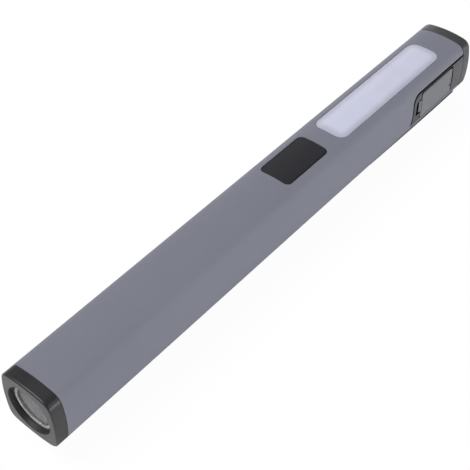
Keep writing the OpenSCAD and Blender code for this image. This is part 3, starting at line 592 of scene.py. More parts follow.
def brushed():
    """Fine lines drawn along X, as a height."""
    group, desk, start, end = effect("brushed", {"Vector": None}, ["Height"])
    drawn = desk.add("ShaderNodeMapping", vector=start["Vector"], scale=(300.0, 9000.0, 9000.0))
    lines = desk.add("ShaderNodeTexNoise", vector=drawn.outputs[0], scale=1.0, detail=3.0)
    desk.feed(end["Height"], lines.outputs["Fac"])
    return group


GRAIN = moulded_grain()
HANDLING = handling()
EDGE_HIGHLIGHT = edge_highlight()
BRUSHED = brushed()


def fresh(name):
    """A new material, its desk, its shader and the object's own coordinates."""
    material = bpy.data.materials.new(name)
    material.use_nodes = True
    desk = Desk(material.node_tree)
    shader = material.node_tree.nodes["Principled BSDF"]
    where = desk.add("ShaderNodeTexCoord").outputs["Object"]
    return material, desk, shader, where


def use(desk, group, **wires):
    """Places a shared effect in a material."""
    return desk.add("ShaderNodeGroup", {"node_tree": group}, **wires)


def moulding(name, colour, roughness, grain=0.2, depth=0.5, drift=0.25, edge=1.35, marks=0.5, specular=0.5,
             coat=0.0, recess_shade=None, bore=None):
    """A moulded plastic or rubber: grain, drifting tone, faint smears, and edges that are smoother and
    painted paler as a painted highlight, as much paler as edge says.
    The next to last argument gives two depths below the crowned side, between which painted shade darkens the
    recesses.
    The last gives the radius about the axis inside which painted shade darkens the piece towards dead black."""
    material, desk, shader, where = fresh(name)
    texture = use(desk, GRAIN, vector=where, size=grain, drift=drift)
    touched = use(desk, HANDLING, vector=where, amount=marks)
    highlight_band = use(desk, EDGE_HIGHLIGHT, width=0.25)
    base = (*colour, 1.0)
    dark = (*(c * 0.72 for c in colour), 1.0)
    # A paler colour along the edges: a painted highlight.
    lit_edge_colour = (*(min(1.0, c * edge + 0.004) for c in colour), 1.0)
    tone = desk.math("ADD", texture.outputs["Tone"], 0.5, clamp=True)
    body = desk.mix(tone, dark, (*(min(1.0, c * 1.28) for c in colour), 1.0))
    body = desk.mix(desk.math("MULTIPLY", highlight_band.outputs["Mask"], 0.6), body, lit_edge_colour)
    dusty = (*(min(1.0, c * 1.5 + 0.02) for c in colour), 1.0)
    body = desk.mix(desk.math("MULTIPLY", touched.outputs["Dust"], 0.35), body, dusty)
    place = desk.add("ShaderNodeSeparateXYZ", vector=where).outputs
    up = desk.math("SUBTRACT", place[2], AXIS_HEIGHT * MM)
    # Painted shade: recesses below the crowned side, and the inside of the bore, are darkened towards near
    # black and made rougher.
    if recess_shade:
        bulge = desk.math("MULTIPLY", desk.math("MULTIPLY", up, up), 1 / (2 * SIDE_ARC * MM))
        depth_in = desk.math("SUBTRACT", desk.math("ADD", place[1], WIDTH / 2 * MM), bulge)
        painted_shade = desk.ramp(depth_in, recess_shade[0] * MM, recess_shade[1] * MM, 0.0, 0.92)
    if bore:
        out = desk.math("SQRT", desk.math("ADD", desk.math("MULTIPLY", place[1], place[1]),
                                          desk.math("MULTIPLY", up, up)))
        painted_shade = desk.ramp(out, bore * MM, (bore - 0.1) * MM, 0.0, 0.6)
    if recess_shade or bore:
        body = desk.mix(painted_shade, body, (0.004, 0.004, 0.004, 1.0))
    desk.feed(shader.inputs["Base Color"], body)
    sheen = desk.math("ADD", roughness, desk.math("MULTIPLY", texture.outputs["Tone"], 0.2))
    sheen = desk.math("SUBTRACT", sheen, desk.math("MULTIPLY", touched.outputs["Smear"], 0.12))
    sheen = desk.math("SUBTRACT", sheen, desk.math("MULTIPLY", highlight_band.outputs["Mask"], 0.1), clamp=True)
    if recess_shade or bore:
        sheen = desk.math("ADD", sheen, desk.math("MULTIPLY", painted_shade, 0.35), clamp=True)
    desk.feed(shader.inputs["Roughness"], sheen)
    bump = desk.add("ShaderNodeBump", strength=depth, distance=0.02 * MM, height=texture.outputs["Height"])
    desk.feed(shader.inputs["Normal"], bump.outputs[0])
    shader.inputs["Specular IOR Level"].default_value = specular
    shader.inputs["Coat Weight"].default_value = coat
    material.diffuse_color = base
    return material


def metal(name, colour, roughness, drawn=True):
    """A bare metal with drawn lines or a fine grain."""
    material, desk, shader, where = fresh(name)
    touched = use(desk, HANDLING, vector=where, amount=0.6)
    lines = use(desk, BRUSHED, vector=where) if drawn else use(desk, GRAIN, vector=where, size=0.12)
    dark = (*(c * 0.8 for c in colour), 1.0)
    desk.feed(shader.inputs["Base Color"], desk.mix(lines.outputs["Height"], dark, (*colour, 1.0)))
    sheen = desk.math("ADD", roughness, desk.math("MULTIPLY", lines.outputs["Height"], 0.12))
    desk.feed(shader.inputs["Roughness"], desk.math("ADD", sheen,
                                                    desk.math("MULTIPLY", touched.outputs["Smear"], 0.15)))
    bump = desk.add("ShaderNodeBump", strength=0.2, distance=0.01 * MM, height=lines.outputs["Height"])
    desk.feed(shader.inputs["Normal"], bump.outputs[0])
    shader.inputs["Metallic"].default_value = 1.0
    return material


def clear_lens():
    """Coated clear plastic with a faint haze. Shadow rays pass, so light reaches the bowl behind it."""
    material, desk, shader, where = fresh("clear_lens")
    touched = use(desk, HANDLING, vector=where, amount=1.0)
    sheen = desk.math("ADD", 0.05, desk.math("MULTIPLY", touched.outputs["Smear"], 0.12))
    desk.feed(shader.inputs["Roughness"], sheen)
    shader.inputs["Base Color"].default_value = (0.66, 0.66, 0.69, 1.0)
    shader.inputs["Transmission Weight"].default_value = 0.88
    shader.inputs["IOR"].default_value = 1.14
    passing = desk.add("ShaderNodeBsdfTransparent", color=(0.8, 0.8, 0.83, 1.0))
    which = desk.add("ShaderNodeLightPath").outputs["Is Shadow Ray"]
    both = desk.add("ShaderNodeMixShader", in0=which, in1=shader.outputs[0], in2=passing.outputs[0])
    desk.feed(desk.tree.nodes["Material Output"].inputs["Surface"], both.outputs[0])
    return material


def milky_diffuser():
    """Milky plastic with painted light: paler along its middle as painted light from the white tray under it,
    darker towards its sides and ends as painted shade, with a painted highlight along its edges.
    """
    material, desk, shader, where = fresh("milky_diffuser")
    parts = desk.add("ShaderNodeSeparateXYZ", vector=where)
    # Painted light: paler along the middle, painted shade towards the sides and ends, and a random cloud over
    # both.
    across = desk.math("ABSOLUTE", parts.outputs[1])
    middle = desk.ramp(across, 5.0 * MM, 2.6 * MM)
    x0, x1 = (s - LENGTH / 2 for s in STRIP[:2])
    along = desk.math("ABSOLUTE", desk.math("SUBTRACT", parts.outputs[0], (x0 + x1) / 2 * MM))
    ends = desk.ramp(along, (x1 - x0) / 2 * MM, ((x1 - x0) / 2 - 3) * MM)
    glow = desk.math("MULTIPLY", middle, ends)
    cloud = desk.add("ShaderNodeTexNoise", vector=where, scale=180.0, detail=3.0)
    drift = desk.math("MULTIPLY", desk.math("SUBTRACT", cloud.outputs["Fac"], 0.5), 0.35)
    glow = desk.math("ADD", glow, drift, clamp=True)
    # A painted highlight along its edges.
    highlight_band = use(desk, EDGE_HIGHLIGHT, width=0.3)
    body = desk.mix(glow, (0.40, 0.40, 0.50, 1.0), (0.555, 0.565, 0.69, 1.0))
    body = desk.mix(highlight_band.outputs["Mask"], body, (0.72, 0.72, 0.80, 1.0))
    desk.feed(shader.inputs["Base Color"], body)
    touched = use(desk, HANDLING, vector=where, amount=0.7)
    desk.feed(shader.inputs["Roughness"], desk.math("ADD", 0.38,
                                                    desk.math("MULTIPLY", touched.outputs["Smear"], 0.15)))
    grain = use(desk, GRAIN, vector=where, size=0.08)
    bump = desk.add("ShaderNodeBump", strength=0.12, distance=0.01 * MM, height=grain.outputs["Height"])
    desk.feed(shader.inputs["Normal"], bump.outputs[0])
    shader.inputs["Subsurface Weight"].default_value = 0.25
    shader.inputs["Subsurface Radius"].default_value = (1.2 * MM, 1.2 * MM, 1.5 * MM)
    shader.inputs["Subsurface Scale"].default_value = 1.0
    return material


def mirror_coat():
    """Bright metal coat: a polished rim, and a bowl that turns rougher towards its depth and is painted near
    black there as painted shade.
    """
    material, desk, shader, where = fresh("mirror_coat")
    peel = desk.add("ShaderNodeTexNoise", vector=where, scale=260.0, detail=2.0)
    along = desk.add("ShaderNodeSeparateXYZ", vector=where).outputs[0]
    mouth = LENS_BACK - LENGTH / 2
    deep = desk.ramp(along, mouth * MM, (mouth + 0.4) * MM)
    rim = desk.mix(peel.outputs["Fac"], (0.86, 0.85, 0.8, 1), (0.93, 0.92, 0.88, 1))
    # Painted shade: the bowl's colour is near black.
    bowl = desk.mix(peel.outputs["Fac"], (0.045, 0.045, 0.05, 1), (0.06, 0.06, 0.066, 1))
    desk.feed(shader.inputs["Base Color"], desk.mix(deep, rim, bowl))
    desk.feed(shader.inputs["Roughness"], desk.math("ADD", desk.ramp(deep, 0.0, 1.0, 0.22, 0.72),
                                                    desk.math("MULTIPLY", peel.outputs["Fac"], 0.05)))
    bump = desk.add("ShaderNodeBump", strength=0.04, distance=0.02 * MM, height=peel.outputs["Fac"])
    desk.feed(shader.inputs["Normal"], bump.outputs[0])
    shader.inputs["Metallic"].default_value = 1.0
    return material


def phosphor():
    """Yellow coating of the lamps' dies."""
    material, desk, shader, where = fresh("phosphor")
    specks = desk.add("ShaderNodeTexVoronoi", vector=where, scale=9000.0)
    body = desk.mix(specks.outputs["Distance"], (0.72, 0.5, 0.05, 1), (0.95, 0.82, 0.3, 1))
    desk.feed(shader.inputs["Base Color"], body)
    desk.feed(shader.inputs["Roughness"], desk.ramp(specks.outputs["Distance"], 0.0, 0.8, 0.35, 0.6))
    return material


def board(name, mask, line):
    """Solder mask over copper tracks: straight lanes that step, with bare pads."""
    material, desk, shader, where = fresh(name)
    lanes = desk.add("ShaderNodeTexBrick", {"offset": 0.5}, vector=where, color1=(*mask, 1),
                     color2=(*mask, 1), mortar=(*line, 1), scale=260.0, mortar_size=0.035,
                     mortar_smooth=0.3, brick_width=1.7, row_height=0.3)
    grain = use(desk, GRAIN, vector=where, size=0.3, drift=0.6)
    tone = desk.math("ADD", grain.outputs["Tone"], 0.5, clamp=True)
    shaded = desk.mix(tone, (0.75, 0.75, 0.75, 1), (1, 1, 1, 1))
    desk.feed(shader.inputs["Base Color"], desk.mix(1.0, lanes.outputs["Color"], shaded, "MULTIPLY"))
    desk.feed(shader.inputs["Roughness"], desk.ramp(grain.outputs["Tone"], -0.3, 0.3, 0.25, 0.42))
    bump = desk.add("ShaderNodeBump", strength=0.4, distance=0.03 * MM, height=lanes.outputs["Fac"])
    desk.feed(shader.inputs["Normal"], bump.outputs[0])
    return material


# edge sets how strong each moulding's painted edge highlight is.
SOFT_GREY = moulding("soft_touch_grey", (0.168, 0.173, 0.212), 0.58, grain=0.16, depth=0.55, drift=0.2,
                     edge=1.9, marks=0.45, specular=0.3)
SATIN_BLACK = moulding("satin_black", (0.010, 0.010, 0.011), 0.36, grain=0.25, depth=0.35, drift=0.3,
                       edge=3.0, marks=0.8)
SATIN_GREY = moulding("satin_dark_grey", (0.031, 0.031, 0.034), 0.42, grain=0.25, depth=0.4, drift=0.3,
                      edge=1.9, marks=0.7)
# Painted shade darkens its recesses.
BEZEL_GREY = moulding("bezel_dark_grey", (0.038, 0.038, 0.042), 0.42, grain=0.25, depth=0.4, drift=0.3,
                      edge=1.9, marks=0.7, recess_shade=(0.02, 0.14))
# Painted shade darkens it inside the lamp's bore.
NOSE_BLACK = moulding("nose_black", (0.009, 0.008, 0.010), 0.36, grain=0.25, depth=0.35, drift=0.3,
                      edge=3.0, marks=0.8, bore=MOUTH_RADIUS + 0.03)
BUTTON_BLACK = moulding("button_black", (0.010, 0.010, 0.014), 0.66, grain=0.14, depth=0.8, drift=0.25,
                        edge=1.8, marks=0.5, specular=0.3)
FLAP_RUBBER = moulding("flap_rubber", (0.166, 0.174, 0.182), 0.68, grain=0.2, depth=0.8, drift=0.35,
                       edge=1.35, marks=0.8, specular=0.3)
# Painted shade: a dead black with almost no gloss, put on faces deep in gaps and recesses.
GAP_SHADE = moulding("gap_black", (0.004, 0.004, 0.004), 0.85, grain=0.1, depth=0.2, edge=1.0, marks=0.0,
                     specular=0.05)
SEAL_BLACK = moulding("seal_black", (0.012, 0.012, 0.013), 0.6, grain=0.2, depth=0.5)
CHASSIS_DARK = moulding("chassis_dark", (0.05, 0.05, 0.055), 0.55, grain=0.4, depth=0.6)
CHIP_BLACK = moulding("chip_black", (0.02, 0.02, 0.022), 0.5, grain=0.1, depth=0.5)
TRAY_WHITE = moulding("tray_white", (0.82, 0.82, 0.81), 0.3, grain=0.3, depth=0.2)
LEAD_RED = moulding("lead_red", (0.42, 0.015, 0.012), 0.4, grain=0.5, depth=0.3)
LEAD_BLACK = moulding("lead_black", (0.02, 0.02, 0.02), 0.4, grain=0.5, depth=0.3)
CELL_BLUE = moulding("cell_sleeve", (0.03, 0.12, 0.4), 0.28, grain=0.8, depth=0.3, coat=0.3)
CLIP_BLACK = moulding("clip_black", (0.006, 0.006, 0.007), 0.5, grain=0.12, depth=0.5, edge=1.6, marks=0.8,
                      specular=0.18)
SCREW_BLACK = metal("screw_black", (0.06, 0.06, 0.062), 0.35, drawn=False)
SCREW_STEEL = metal("screw_steel", (0.55, 0.55, 0.56), 0.3, drawn=False)
NICKEL = metal("nickel", (0.62, 0.6, 0.56), 0.25)
GOLD = metal("contact_gold", (0.8, 0.55, 0.2), 0.25)
TURNED = metal("turned_aluminium", (0.68, 0.69, 0.71), 0.28)
LENS = clear_lens()
GROUND_EDGE = moulding("ground_lens_edge", (0.80, 0.79, 0.75), 0.25, grain=0.1, depth=0.2, edge=1.1)
MILKY = milky_diffuser()
MIRROR = mirror_coat()
PHOSPHOR = phosphor()
BOARD_GREEN = board("board_green", (0.02, 0.13, 0.05), (0.05, 0.24, 0.09))
BOARD_WHITE = board("board_white", (0.78, 0.78, 0.76), (0.62, 0.62, 0.58))


# Outer pieces


def make_housing():
    """The open tube with its two windows, its notch and the ways of the clip's screws."""
    tube = crowned_bar("housing_shell", NOSE_SEAM + SEAM_GAP, TAIL_SEAM - TAIL_SEAM_GAP)
    carve(tube, crowned_bar("bore", NOSE_SEAM - 1, TAIL_SEAM + 1, WALL))
    for name, window, gap in (("button_gap", BUTTON, BUTTON_GAP), ("strip_gap", STRIP, STRIP_GAP)):
        x0, x1, half, corner = window
        carve(tube, top_block(name, x0 - gap, x1 + gap, half + gap, corner + gap, 2, HEIGHT))
    x0, z0, z1, corner = NOTCH
    carve(tube, side_block("notch", x0, TAIL_SEAM + 2, z0, z1, (NOTCH_FOOT_CORNER, 0, 0, corner), -WIDTH,
                           -WIDTH / 4))
    for x in CLIP_SCREWS:
        carve(tube, upright_rod("screw_way", x, 0, -HEIGHT, -2, SCREW_WAY))
    soften(tube, 0.14)
    finished(tube, "light", "housing_grey", SOFT_GREY, "housing")


def round_face(obj, station, radius, steps):
    """Rounds the ring of edges round an end face."""
    x = set_down(station, 0, 0).x

    def on_ring(edge):
        ends = [obj.data.vertices[i].co for i in edge.vertices]
        return all(abs(p.x - x) < NEAR for p in ends)

    into_edit(obj, "EDGE", on_ring)
    bpy.ops.mesh.bevel(offset=radius * MM, segments=steps, profile=0.5, clamp_overlap=False)
    out_of_edit()
    return obj


def make_nose_cap():
    """The end cap with its sleeve and the flared opening of the lamp."""
    cap = round_face(crowned_bar("nose_cap", 0, NOSE_SEAM - SEAM_GAP), 0, NOSE_EDGE, 5)
    sleeve = crowned_bar("sleeve", NOSE_SEAM - 1, NOSE_SLEEVE_END, WALL + FIT)
    carve(cap, sleeve, "UNION")
    flare = (MOUTH_RADIUS - OPENING_RADIUS) / NOSE_LIP
    mouth = turned("mouth", [(0, -1), (MOUTH_RADIUS + flare, -1), (OPENING_RADIUS, NOSE_LIP),
                             (OPENING_RADIUS, NOSE_LIP + FIT), (LAMP_BORE, NOSE_LIP + FIT),
                             (LAMP_BORE, NOSE_SLEEVE_END + 1), (0, NOSE_SLEEVE_END + 1)])
    carve(cap, mouth)
    soften(cap, 0.12, angle=40)
    finished(cap, "light", "cap_black", NOSE_BLACK, "front_cap")


def make_tail_cap():
    """The end cap with its skirt, which leaves room for the port's insert."""
    cap = round_face(crowned_bar("tail_cap", TAIL_SEAM + TAIL_SEAM_GAP, LENGTH), LENGTH, TAIL_EDGE, 7)
    hollow = crowned_bar("hollow", TAIL_SEAM - 3, LENGTH - TAIL_FACE, WALL + SKIRT_DEPTH)
    skirt = crowned_bar("skirt", TAIL_SEAM - TAIL_SKIRT, TAIL_SEAM + 1, WALL + FIT)
    carve(skirt, block("side_room", (TAIL_SEAM - 4, -WIDTH, -HEIGHT),
                       (TAIL_SEAM, BEZEL_INNER_Y + 0.1, HEIGHT)))
    carve(cap, skirt, "UNION")
    carve(cap, hollow)
    soften(cap, 0.12, angle=40)
    finished(cap, "light", "cap_grey", SATIN_GREY, "rear_cap")


def window_piece(name, window, inset, rim_z0, room, room_corner, room_top):
    """A piece flush with the crowned face, with a rim under the wall and a room underneath."""
    x0, x1, half, corner = window
    face = top_block(name, x0, x1, half, corner, rim_z0, HEIGHT)
    carve(face, crowned_bar("face_limit", x0 - 2, x1 + 2, inset), "INTERSECT")
    rim = top_block("rim", x0 - RIM_WIDTH, x1 + RIM_WIDTH, half + RIM_WIDTH, corner + RIM_WIDTH,
                    rim_z0 + 0.03, HEIGHT)
    carve(rim, crowned_bar("rim_limit", x0 - 2, x1 + 2, WALL + FIT), "INTERSECT")
    for shell in (face, rim):
        carve(shell, top_block("room", x0 + room, x1 - room, half - room, room_corner, 0, room_top))
    soften(face, 0.15)
    return joined(face, shade(rim))


def make_button():
    """The button, with the post that reaches down to the switch."""
    button = window_piece("push_button", BUTTON, inset=0.1, rim_z0=5.9, room=1.2, room_corner=BUTTON[3],
                          room_top=HEIGHT / 2 - WALL - 0.2)
    middle = (BUTTON[0] + BUTTON[1]) / 2
    post = upright_rod("post", middle, 0, POST_FOOT, HEIGHT / 2 - WALL - 0.1, POST_RADIUS)
    joined(button, shade(post))
    finished(button, "button", "button_black", BUTTON_BLACK, "power_button")


def make_diffuser():
    """The long window of the strip lamp."""
    window = window_piece("strip_window", STRIP, inset=0.02, rim_z0=6.0, room=1, room_corner=STRIP[3] - 1,
                          room_top=HEIGHT / 2 - 1.5)
    finished(window, "light", "diffuser_milky", MILKY, "strip_diffuser")


def make_port_insert():
    """Fills the notch: crowned outside, with the flap's pocket, a finger recess and the socket's mouth."""
    x0, z0, z1, corner = NOTCH
    end = TAIL_SEAM - 0.06
    corners = (NOTCH_FOOT_CORNER, 0, 0, corner)
    insert = side_block("port_insert", x0 + INSERT_SET_BACK, end, z0 + 0.1, z1 - INSERT_TOP_GAP, corners,
                        -WIDTH, BEZEL_INNER_Y)
    carve(insert, crowned_bar("insert_limit", x0, end + 1), "INTERSECT")
    rim = side_block("rim", x0 - RIM_WIDTH, end - 0.05, z0 - RIM_WIDTH, z1 + 0.4, corners, -WIDTH,
                     BEZEL_INNER_Y - 0.03)
    carve(rim, crowned_bar("rim_limit", x0 - 2, end + 1, WALL + FIT), "INTERSECT")
    carve(insert, rim, "UNION")
    fx0, fx1, fz0, fz1 = FLAP
    carve(insert, side_block("pocket", fx0 - FLAP_ROOM, fx1 + FLAP_REAR_ROOM, fz0 - FLAP_ROOM,
                             fz1 + FLAP_TOP_ROOM, POCKET_CORNERS, -WIDTH, POCKET_Y))
    carve(insert, side_block("finger_room", fx0 - FINGER_REACH, fx0 + 0.6, FLAP_CENTRE - LIP_HALF - 0.3,
                             FLAP_CENTRE + LIP_HALF + 0.7, FINGER_CORNERS, -WIDTH, POCKET_Y + 0.6))
    wide, high = MOUTH_HALF
    carve(insert, side_block("mouth", SOCKET_X - wide, SOCKET_X + wide, SOCKET_Z - high, SOCKET_Z + high,
                             (MOUTH_CORNER,) * 4, -WIDTH, 0))
    hinge_x = fx1 - HINGE_RADIUS
    carve(insert, block("strap_way", (hinge_x - 0.6, -WIDTH, FLAP_CENTRE - STRAP_HALF),
                        (hinge_x + 0.6, 0, FLAP_CENTRE + STRAP_HALF)))
    soften(insert, 0.09)
    finished(insert, "light", "bezel_grey", BEZEL_GREY, "port_bezel")

    def in_shadow(x, y, z, turned_out):
        return below_side(y, z) > 0.11 and (turned_out < 0.5 or x < fx0)

    paint_gap_shade(insert, in_shadow)


def make_flap():
    """The cover with its pull lip and plug, on two barrels that leave the strap's place free."""
    x0, x1, z0, z1 = FLAP
    x1 -= FLAP_TRIM[0]
    z1 -= FLAP_TRIM[1]
    inner_y = POCKET_Y - FIT
    hinge_x = x1 - HINGE_RADIUS
    outer = side_block("flap_cover", x0, x1, z0, z1, FLAP_CORNERS, -1.5 * WIDTH, inner_y)
    carve(outer, crowned_bar("proud_limit", x0 - 3, x1 + 3, -FLAP_PROUD), "INTERSECT")
    carve(outer, block("behind_hinge", (hinge_x, -2 * WIDTH, z0 - 1), (x1 + 1, 0, z1 + 1)))
    strap_z = (FLAP_CENTRE - STRAP_ROOM, FLAP_CENTRE + STRAP_ROOM)
    carve(outer, block("strap_room", (hinge_x - 0.75, -1.8 * WIDTH, strap_z[0]),
                       (hinge_x + 1, 1, strap_z[1])))
    soften(outer, 0.16, angle=50)
    barrels = []
    for low, high in ((z0 + 0.2, strap_z[0] - FIT), (strap_z[1] + FIT, z1 - 0.25)):
        barrel = upright_rod("barrel", hinge_x, inner_y - HINGE_RADIUS - 0.01, low, high, HINGE_RADIUS)
        carve(barrel, crowned_bar("barrel_limit", x0 - 4, x1 + 4, 0.01 - FLAP_PROUD), "INTERSECT")
        barrels.append(shade(barrel))
    wide, tall = PLUG_HALF
    plug = side_block("plug", SOCKET_X - wide, SOCKET_X + wide, SOCKET_Z - tall, SOCKET_Z + tall,
                      (PLUG_CORNER,) * 4, inner_y - 0.2, PLUG_END_Y)
    soften(plug, 0.15)
    tip = x0 - LIP_REACH
    lip_top = FLAP_CENTRE + LIP_HALF
    lip = block("lip", (tip, inner_y - LIP_THICK, FLAP_CENTRE - LIP_HALF), (x0 + 0.5, inner_y - FIT, lip_top))
    front = set_down(tip, 0, 0).x
    into_edit(lip, "VERT", lambda v: abs(v.co.x - front) < NEAR and v.co.y < (inner_y - 0.5) * MM)
    bpy.ops.transform.translate(value=(0, LIP_TAPER * MM, 0))
    out_of_edit()
    soften(lip, 0.12)
    joined(outer, plug, lip, *barrels)
    finished(outer, "flap", "flap_rubber", FLAP_RUBBER, "port_flap")

    def in_shadow(x, y, z, turned_out):
        depth = below_side(y, z)
        if x < x0 + 0.1:
            return depth > 0.3 and (x < tip + 0.04 or z > lip_top - 0.04)
        return 0.2 < depth < 1.35 and turned_out < 0.7

    paint_gap_shade(outer, in_shadow)


# Spot lamp


def make_lamp():
    """The lens with its ground bevel, the seal before it and the bowl behind it."""
    rim = LAMP_BORE - FIT
    clear = LENS_RADIUS - LENS_BEVEL
    dome = [(clear * i / DOME_STEPS, LENS_FRONT - DOME_RISE * (1 - (i / DOME_STEPS) ** 2))
            for i in range(DOME_STEPS)]
    lens = turned("lens", dome + [(clear, LENS_FRONT + 0.03), (clear, LENS_BACK), (0, LENS_BACK)])
    shade(lens)
    finished(lens, "light", "lens_clear", LENS, "front_lens")
    near, far = clear + 0.02, clear + 0.37
    bevel = turned("lens_bevel", [(near, LENS_FRONT), (far, LENS_FRONT + 0.06), (far, LENS_BACK),
                                  (near, LENS_BACK), (near, LENS_FRONT)])
    shade(bevel)
    finished(bevel, "light", "lens_clear", GROUND_EDGE, "front_lens")
    low, high = NOSE_LIP + 0.02, LENS_FRONT - 0.02
    inner = OPENING_RADIUS + 0.06
    seal = turned("lens_ring_seal", [(inner, low), (rim, low), (rim, high), (inner, high), (inner, low)])
    shade(seal)
    finished(seal, "light", "seal_black", SEAL_BLACK, "lens_seal")
    hole_x = REFLECTOR_BACK - REFLECTOR_FOOT
    share = (HOLE_RADIUS / MIRROR_RADIUS) ** 2
    vertex_x = (hole_x - LENS_BACK * share) / (1 - share)
    bowl = []
    for i in range(BOWL_STEPS + 1):
        x = LENS_BACK + (hole_x - LENS_BACK) * i / BOWL_STEPS
        bowl.append((MIRROR_RADIUS * math.sqrt((vertex_x - x) / (vertex_x - LENS_BACK)), x))
    back = [(r + CUP_WALL, x + 0.3) for r, x in bowl[-3:5:-1]]
    mouth = [(rim - CUP_WALL, LENS_BACK + 1), (rim, LENS_BACK + 1), (rim, LENS_FRONT + 0.05),
             (rim - 0.05, LENS_FRONT), (LENS_RADIUS + 0.1, LENS_FRONT),
             (LENS_RADIUS + FIT, LENS_FRONT + 0.05), (LENS_RADIUS + FIT, LENS_BACK)]
    foot = [(LAMP_ROOM, hole_x), (LAMP_ROOM, REFLECTOR_BACK),
            (LAMP_ROOM + CUP_WALL, REFLECTOR_BACK)]
    cup = turned("reflector_cup", bowl + foot + back + mouth + [bowl[0]])
    shade(cup)
    finished(cup, "light", "reflector_bright", MIRROR, "reflector")


def arm_rise(u):
    """How far the clip's arm lies above the level of its root, from the hinge at 0 to the tip at 1."""
    turn = math.tau * max(0.0, u - NIP_START) / NIP_SHARE
    return CLIP_SAG * min(1.0, u / SAG_END) ** 2 + CLIP_NIP * (1 - math.cos(turn)) / 2


def make_clip_arm():
    """A leaf laid along the arm's curve, thickened, with a barrel at its root."""
    rest_hands()
    bpy.ops.mesh.primitive_grid_add(x_subdivisions=90, y_subdivisions=12, size=1)
    leaf = named("clip_leaf")
    for vertex in leaf.data.vertices:
        u = 0.5 - vertex.co.x
        x = CLIP_HINGE_X - u * CLIP_ARM
        half = (CLIP_WIDTH + (CLIP_TIP_WIDTH - CLIP_WIDTH) * u) / 2
        past = min(CLIP_CORNER, max(0.0, CLIP_HINGE_X - CLIP_ARM + CLIP_CORNER - x))
        half -= CLIP_CORNER - math.sqrt(CLIP_CORNER ** 2 - past ** 2)
        vertex.co = set_down(x, 2 * vertex.co.y * half, CLIP_MIDDLE + arm_rise(u))
    take(leaf)
    sheet = leaf.modifiers.new("sheet", "SOLIDIFY")
    sheet.thickness = CLIP_SHEET * MM
    sheet.offset = 0
    sheet.use_even_offset = True
    bpy.ops.object.modifier_apply(modifier=sheet.name)
    soften(leaf, 0.12, angle=50)
    barrel = across_rod("barrel", CLIP_HINGE_X, CLIP_MIDDLE, CLIP_WIDTH / 2 - 0.1, CLIP_SHEET / 2 - 0.01)
    joined(leaf, shade(barrel))
    finished(leaf, "clip", "clip_black", CLIP_BLACK, "clip_arm")


def make_clip_plate():
    """The plate under the tail, grooved for the arm's barrel and countersunk for its screws."""
    x1 = LENGTH - CLIP_TO_END
    middle = set_down((CLIP_HINGE_X + x1) / 2, 0, CLIP_MIDDLE - CLIP_SHEET / 2)
    plate = rounded_plane("clip_base", (x1 - CLIP_HINGE_X, CLIP_WIDTH),
                          (0, CLIP_END_CORNER, CLIP_END_CORNER, 0), middle)
    pull(plate, (0, 0, CLIP_SHEET * MM))
    soften(plate, 0.1, angle=50)
    carve(plate, across_rod("groove", CLIP_HINGE_X, CLIP_MIDDLE, CLIP_WIDTH, CLIP_SHEET / 2 + FIT))
    for x in CLIP_SCREWS:
        rest_hands()
        bpy.ops.mesh.primitive_cone_add(vertices=ROD_SIDES, radius1=SCREW_HEAD * MM,
                                        radius2=SCREW_WAY * MM, depth=(CLIP_SHEET + 0.04) * MM,
                                        location=set_down(x, 0, CLIP_MIDDLE))
        carve(plate, settle(named("countersink")))
    shade(plate)
    finished(plate, "light", "clip_black", CLIP_BLACK, "clip_plate")


def make_clip():
    """The arm and the plate, on their spacer and with their screws."""
    make_clip_arm()
    make_clip_plate()
    finished(dressed("clip_spacer", "clip_block", 0.15, 3), "light", "cap_black", SATIN_BLACK, "clip_spacer")
    fasteners = dressed("clip_screws", "clip_fasteners", 0.05, 2)
    finished(fasteners, "light", "screw_black", SCREW_BLACK, "clip_screws")


def make_socket():
    """The charging socket with its tongue and contacts, and the strap that holds the flap."""
    finished(dressed("usb_socket", "socket_shell", 0.05, 2, 60), "light", "nickel", NICKEL, "usb_socket")
    tongue = dressed("usb_tongue", "socket_tongue", 0.08, 2)
    finished(tongue, "light", "chip_black", CHIP_BLACK, "usb_tongue")
    pads = None
    for i in range(CONTACTS):
        x = SOCKET_X + (i - (CONTACTS - 1) / 2) * CONTACT_PITCH
        pad = block("socket_contacts", (x - CONTACT_HALF, CONTACT_Y[0], SOCKET_Z + CONTACT_Z[0]),
                    (x + CONTACT_HALF, CONTACT_Y[1], SOCKET_Z + CONTACT_Z[1]))
        soften(pad, 0.02, 2)
        pads = joined(pads, pad) if pads else pad
    finished(pads, "light", "nickel", GOLD)
    root = dressed("flap_strap", "flap_root", 0.08, 2, 50)
    finished(root, "light", "flap_rubber", FLAP_RUBBER, "flap_strap")


# What lies inside keeps the CAD's own meshes, and takes these finishes.
INSIDE = {
    "spot_led": PHOSPHOR, "led_board": BOARD_WHITE, "heat_sink": TURNED,
    "lamp_leads": LEAD_RED, "cell_pad": SEAL_BLACK, "battery_cell": CELL_BLUE, "cell_tab": NICKEL,
    "cell_guard_board": BOARD_GREEN, "cell_leads": LEAD_BLACK, "chassis": CHASSIS_DARK,
    "main_board": BOARD_GREEN, "board_parts": CHIP_BLACK, "board_screws": SCREW_STEEL,
    "tact_switch": CHIP_BLACK, "switch_plunger": CHIP_BLACK, "strip_tray": TRAY_WHITE,
    "strip_board": BOARD_WHITE, "strip_phosphor": PHOSPHOR, "strip_leads": LEAD_RED,
}

make_housing()
make_nose_cap()
make_tail_cap()
make_button()
make_diffuser()
make_port_insert()
make_flap()
make_lamp()
make_clip()
make_socket()
for node_name, inside_finish in INSIDE.items():
    nodes[node_name].data.materials.clear()
    nodes[node_name].data.materials.append(inside_finish)


# Floor, light and camera


def seen_directly(desk):
    """1 for what the camera sees straight or through the lens, else 0."""
    path = desk.add("ShaderNodeLightPath")
    return desk.math("MAXIMUM", path.outputs["Is Camera Ray"], path.outputs["Is Transmission Ray"])


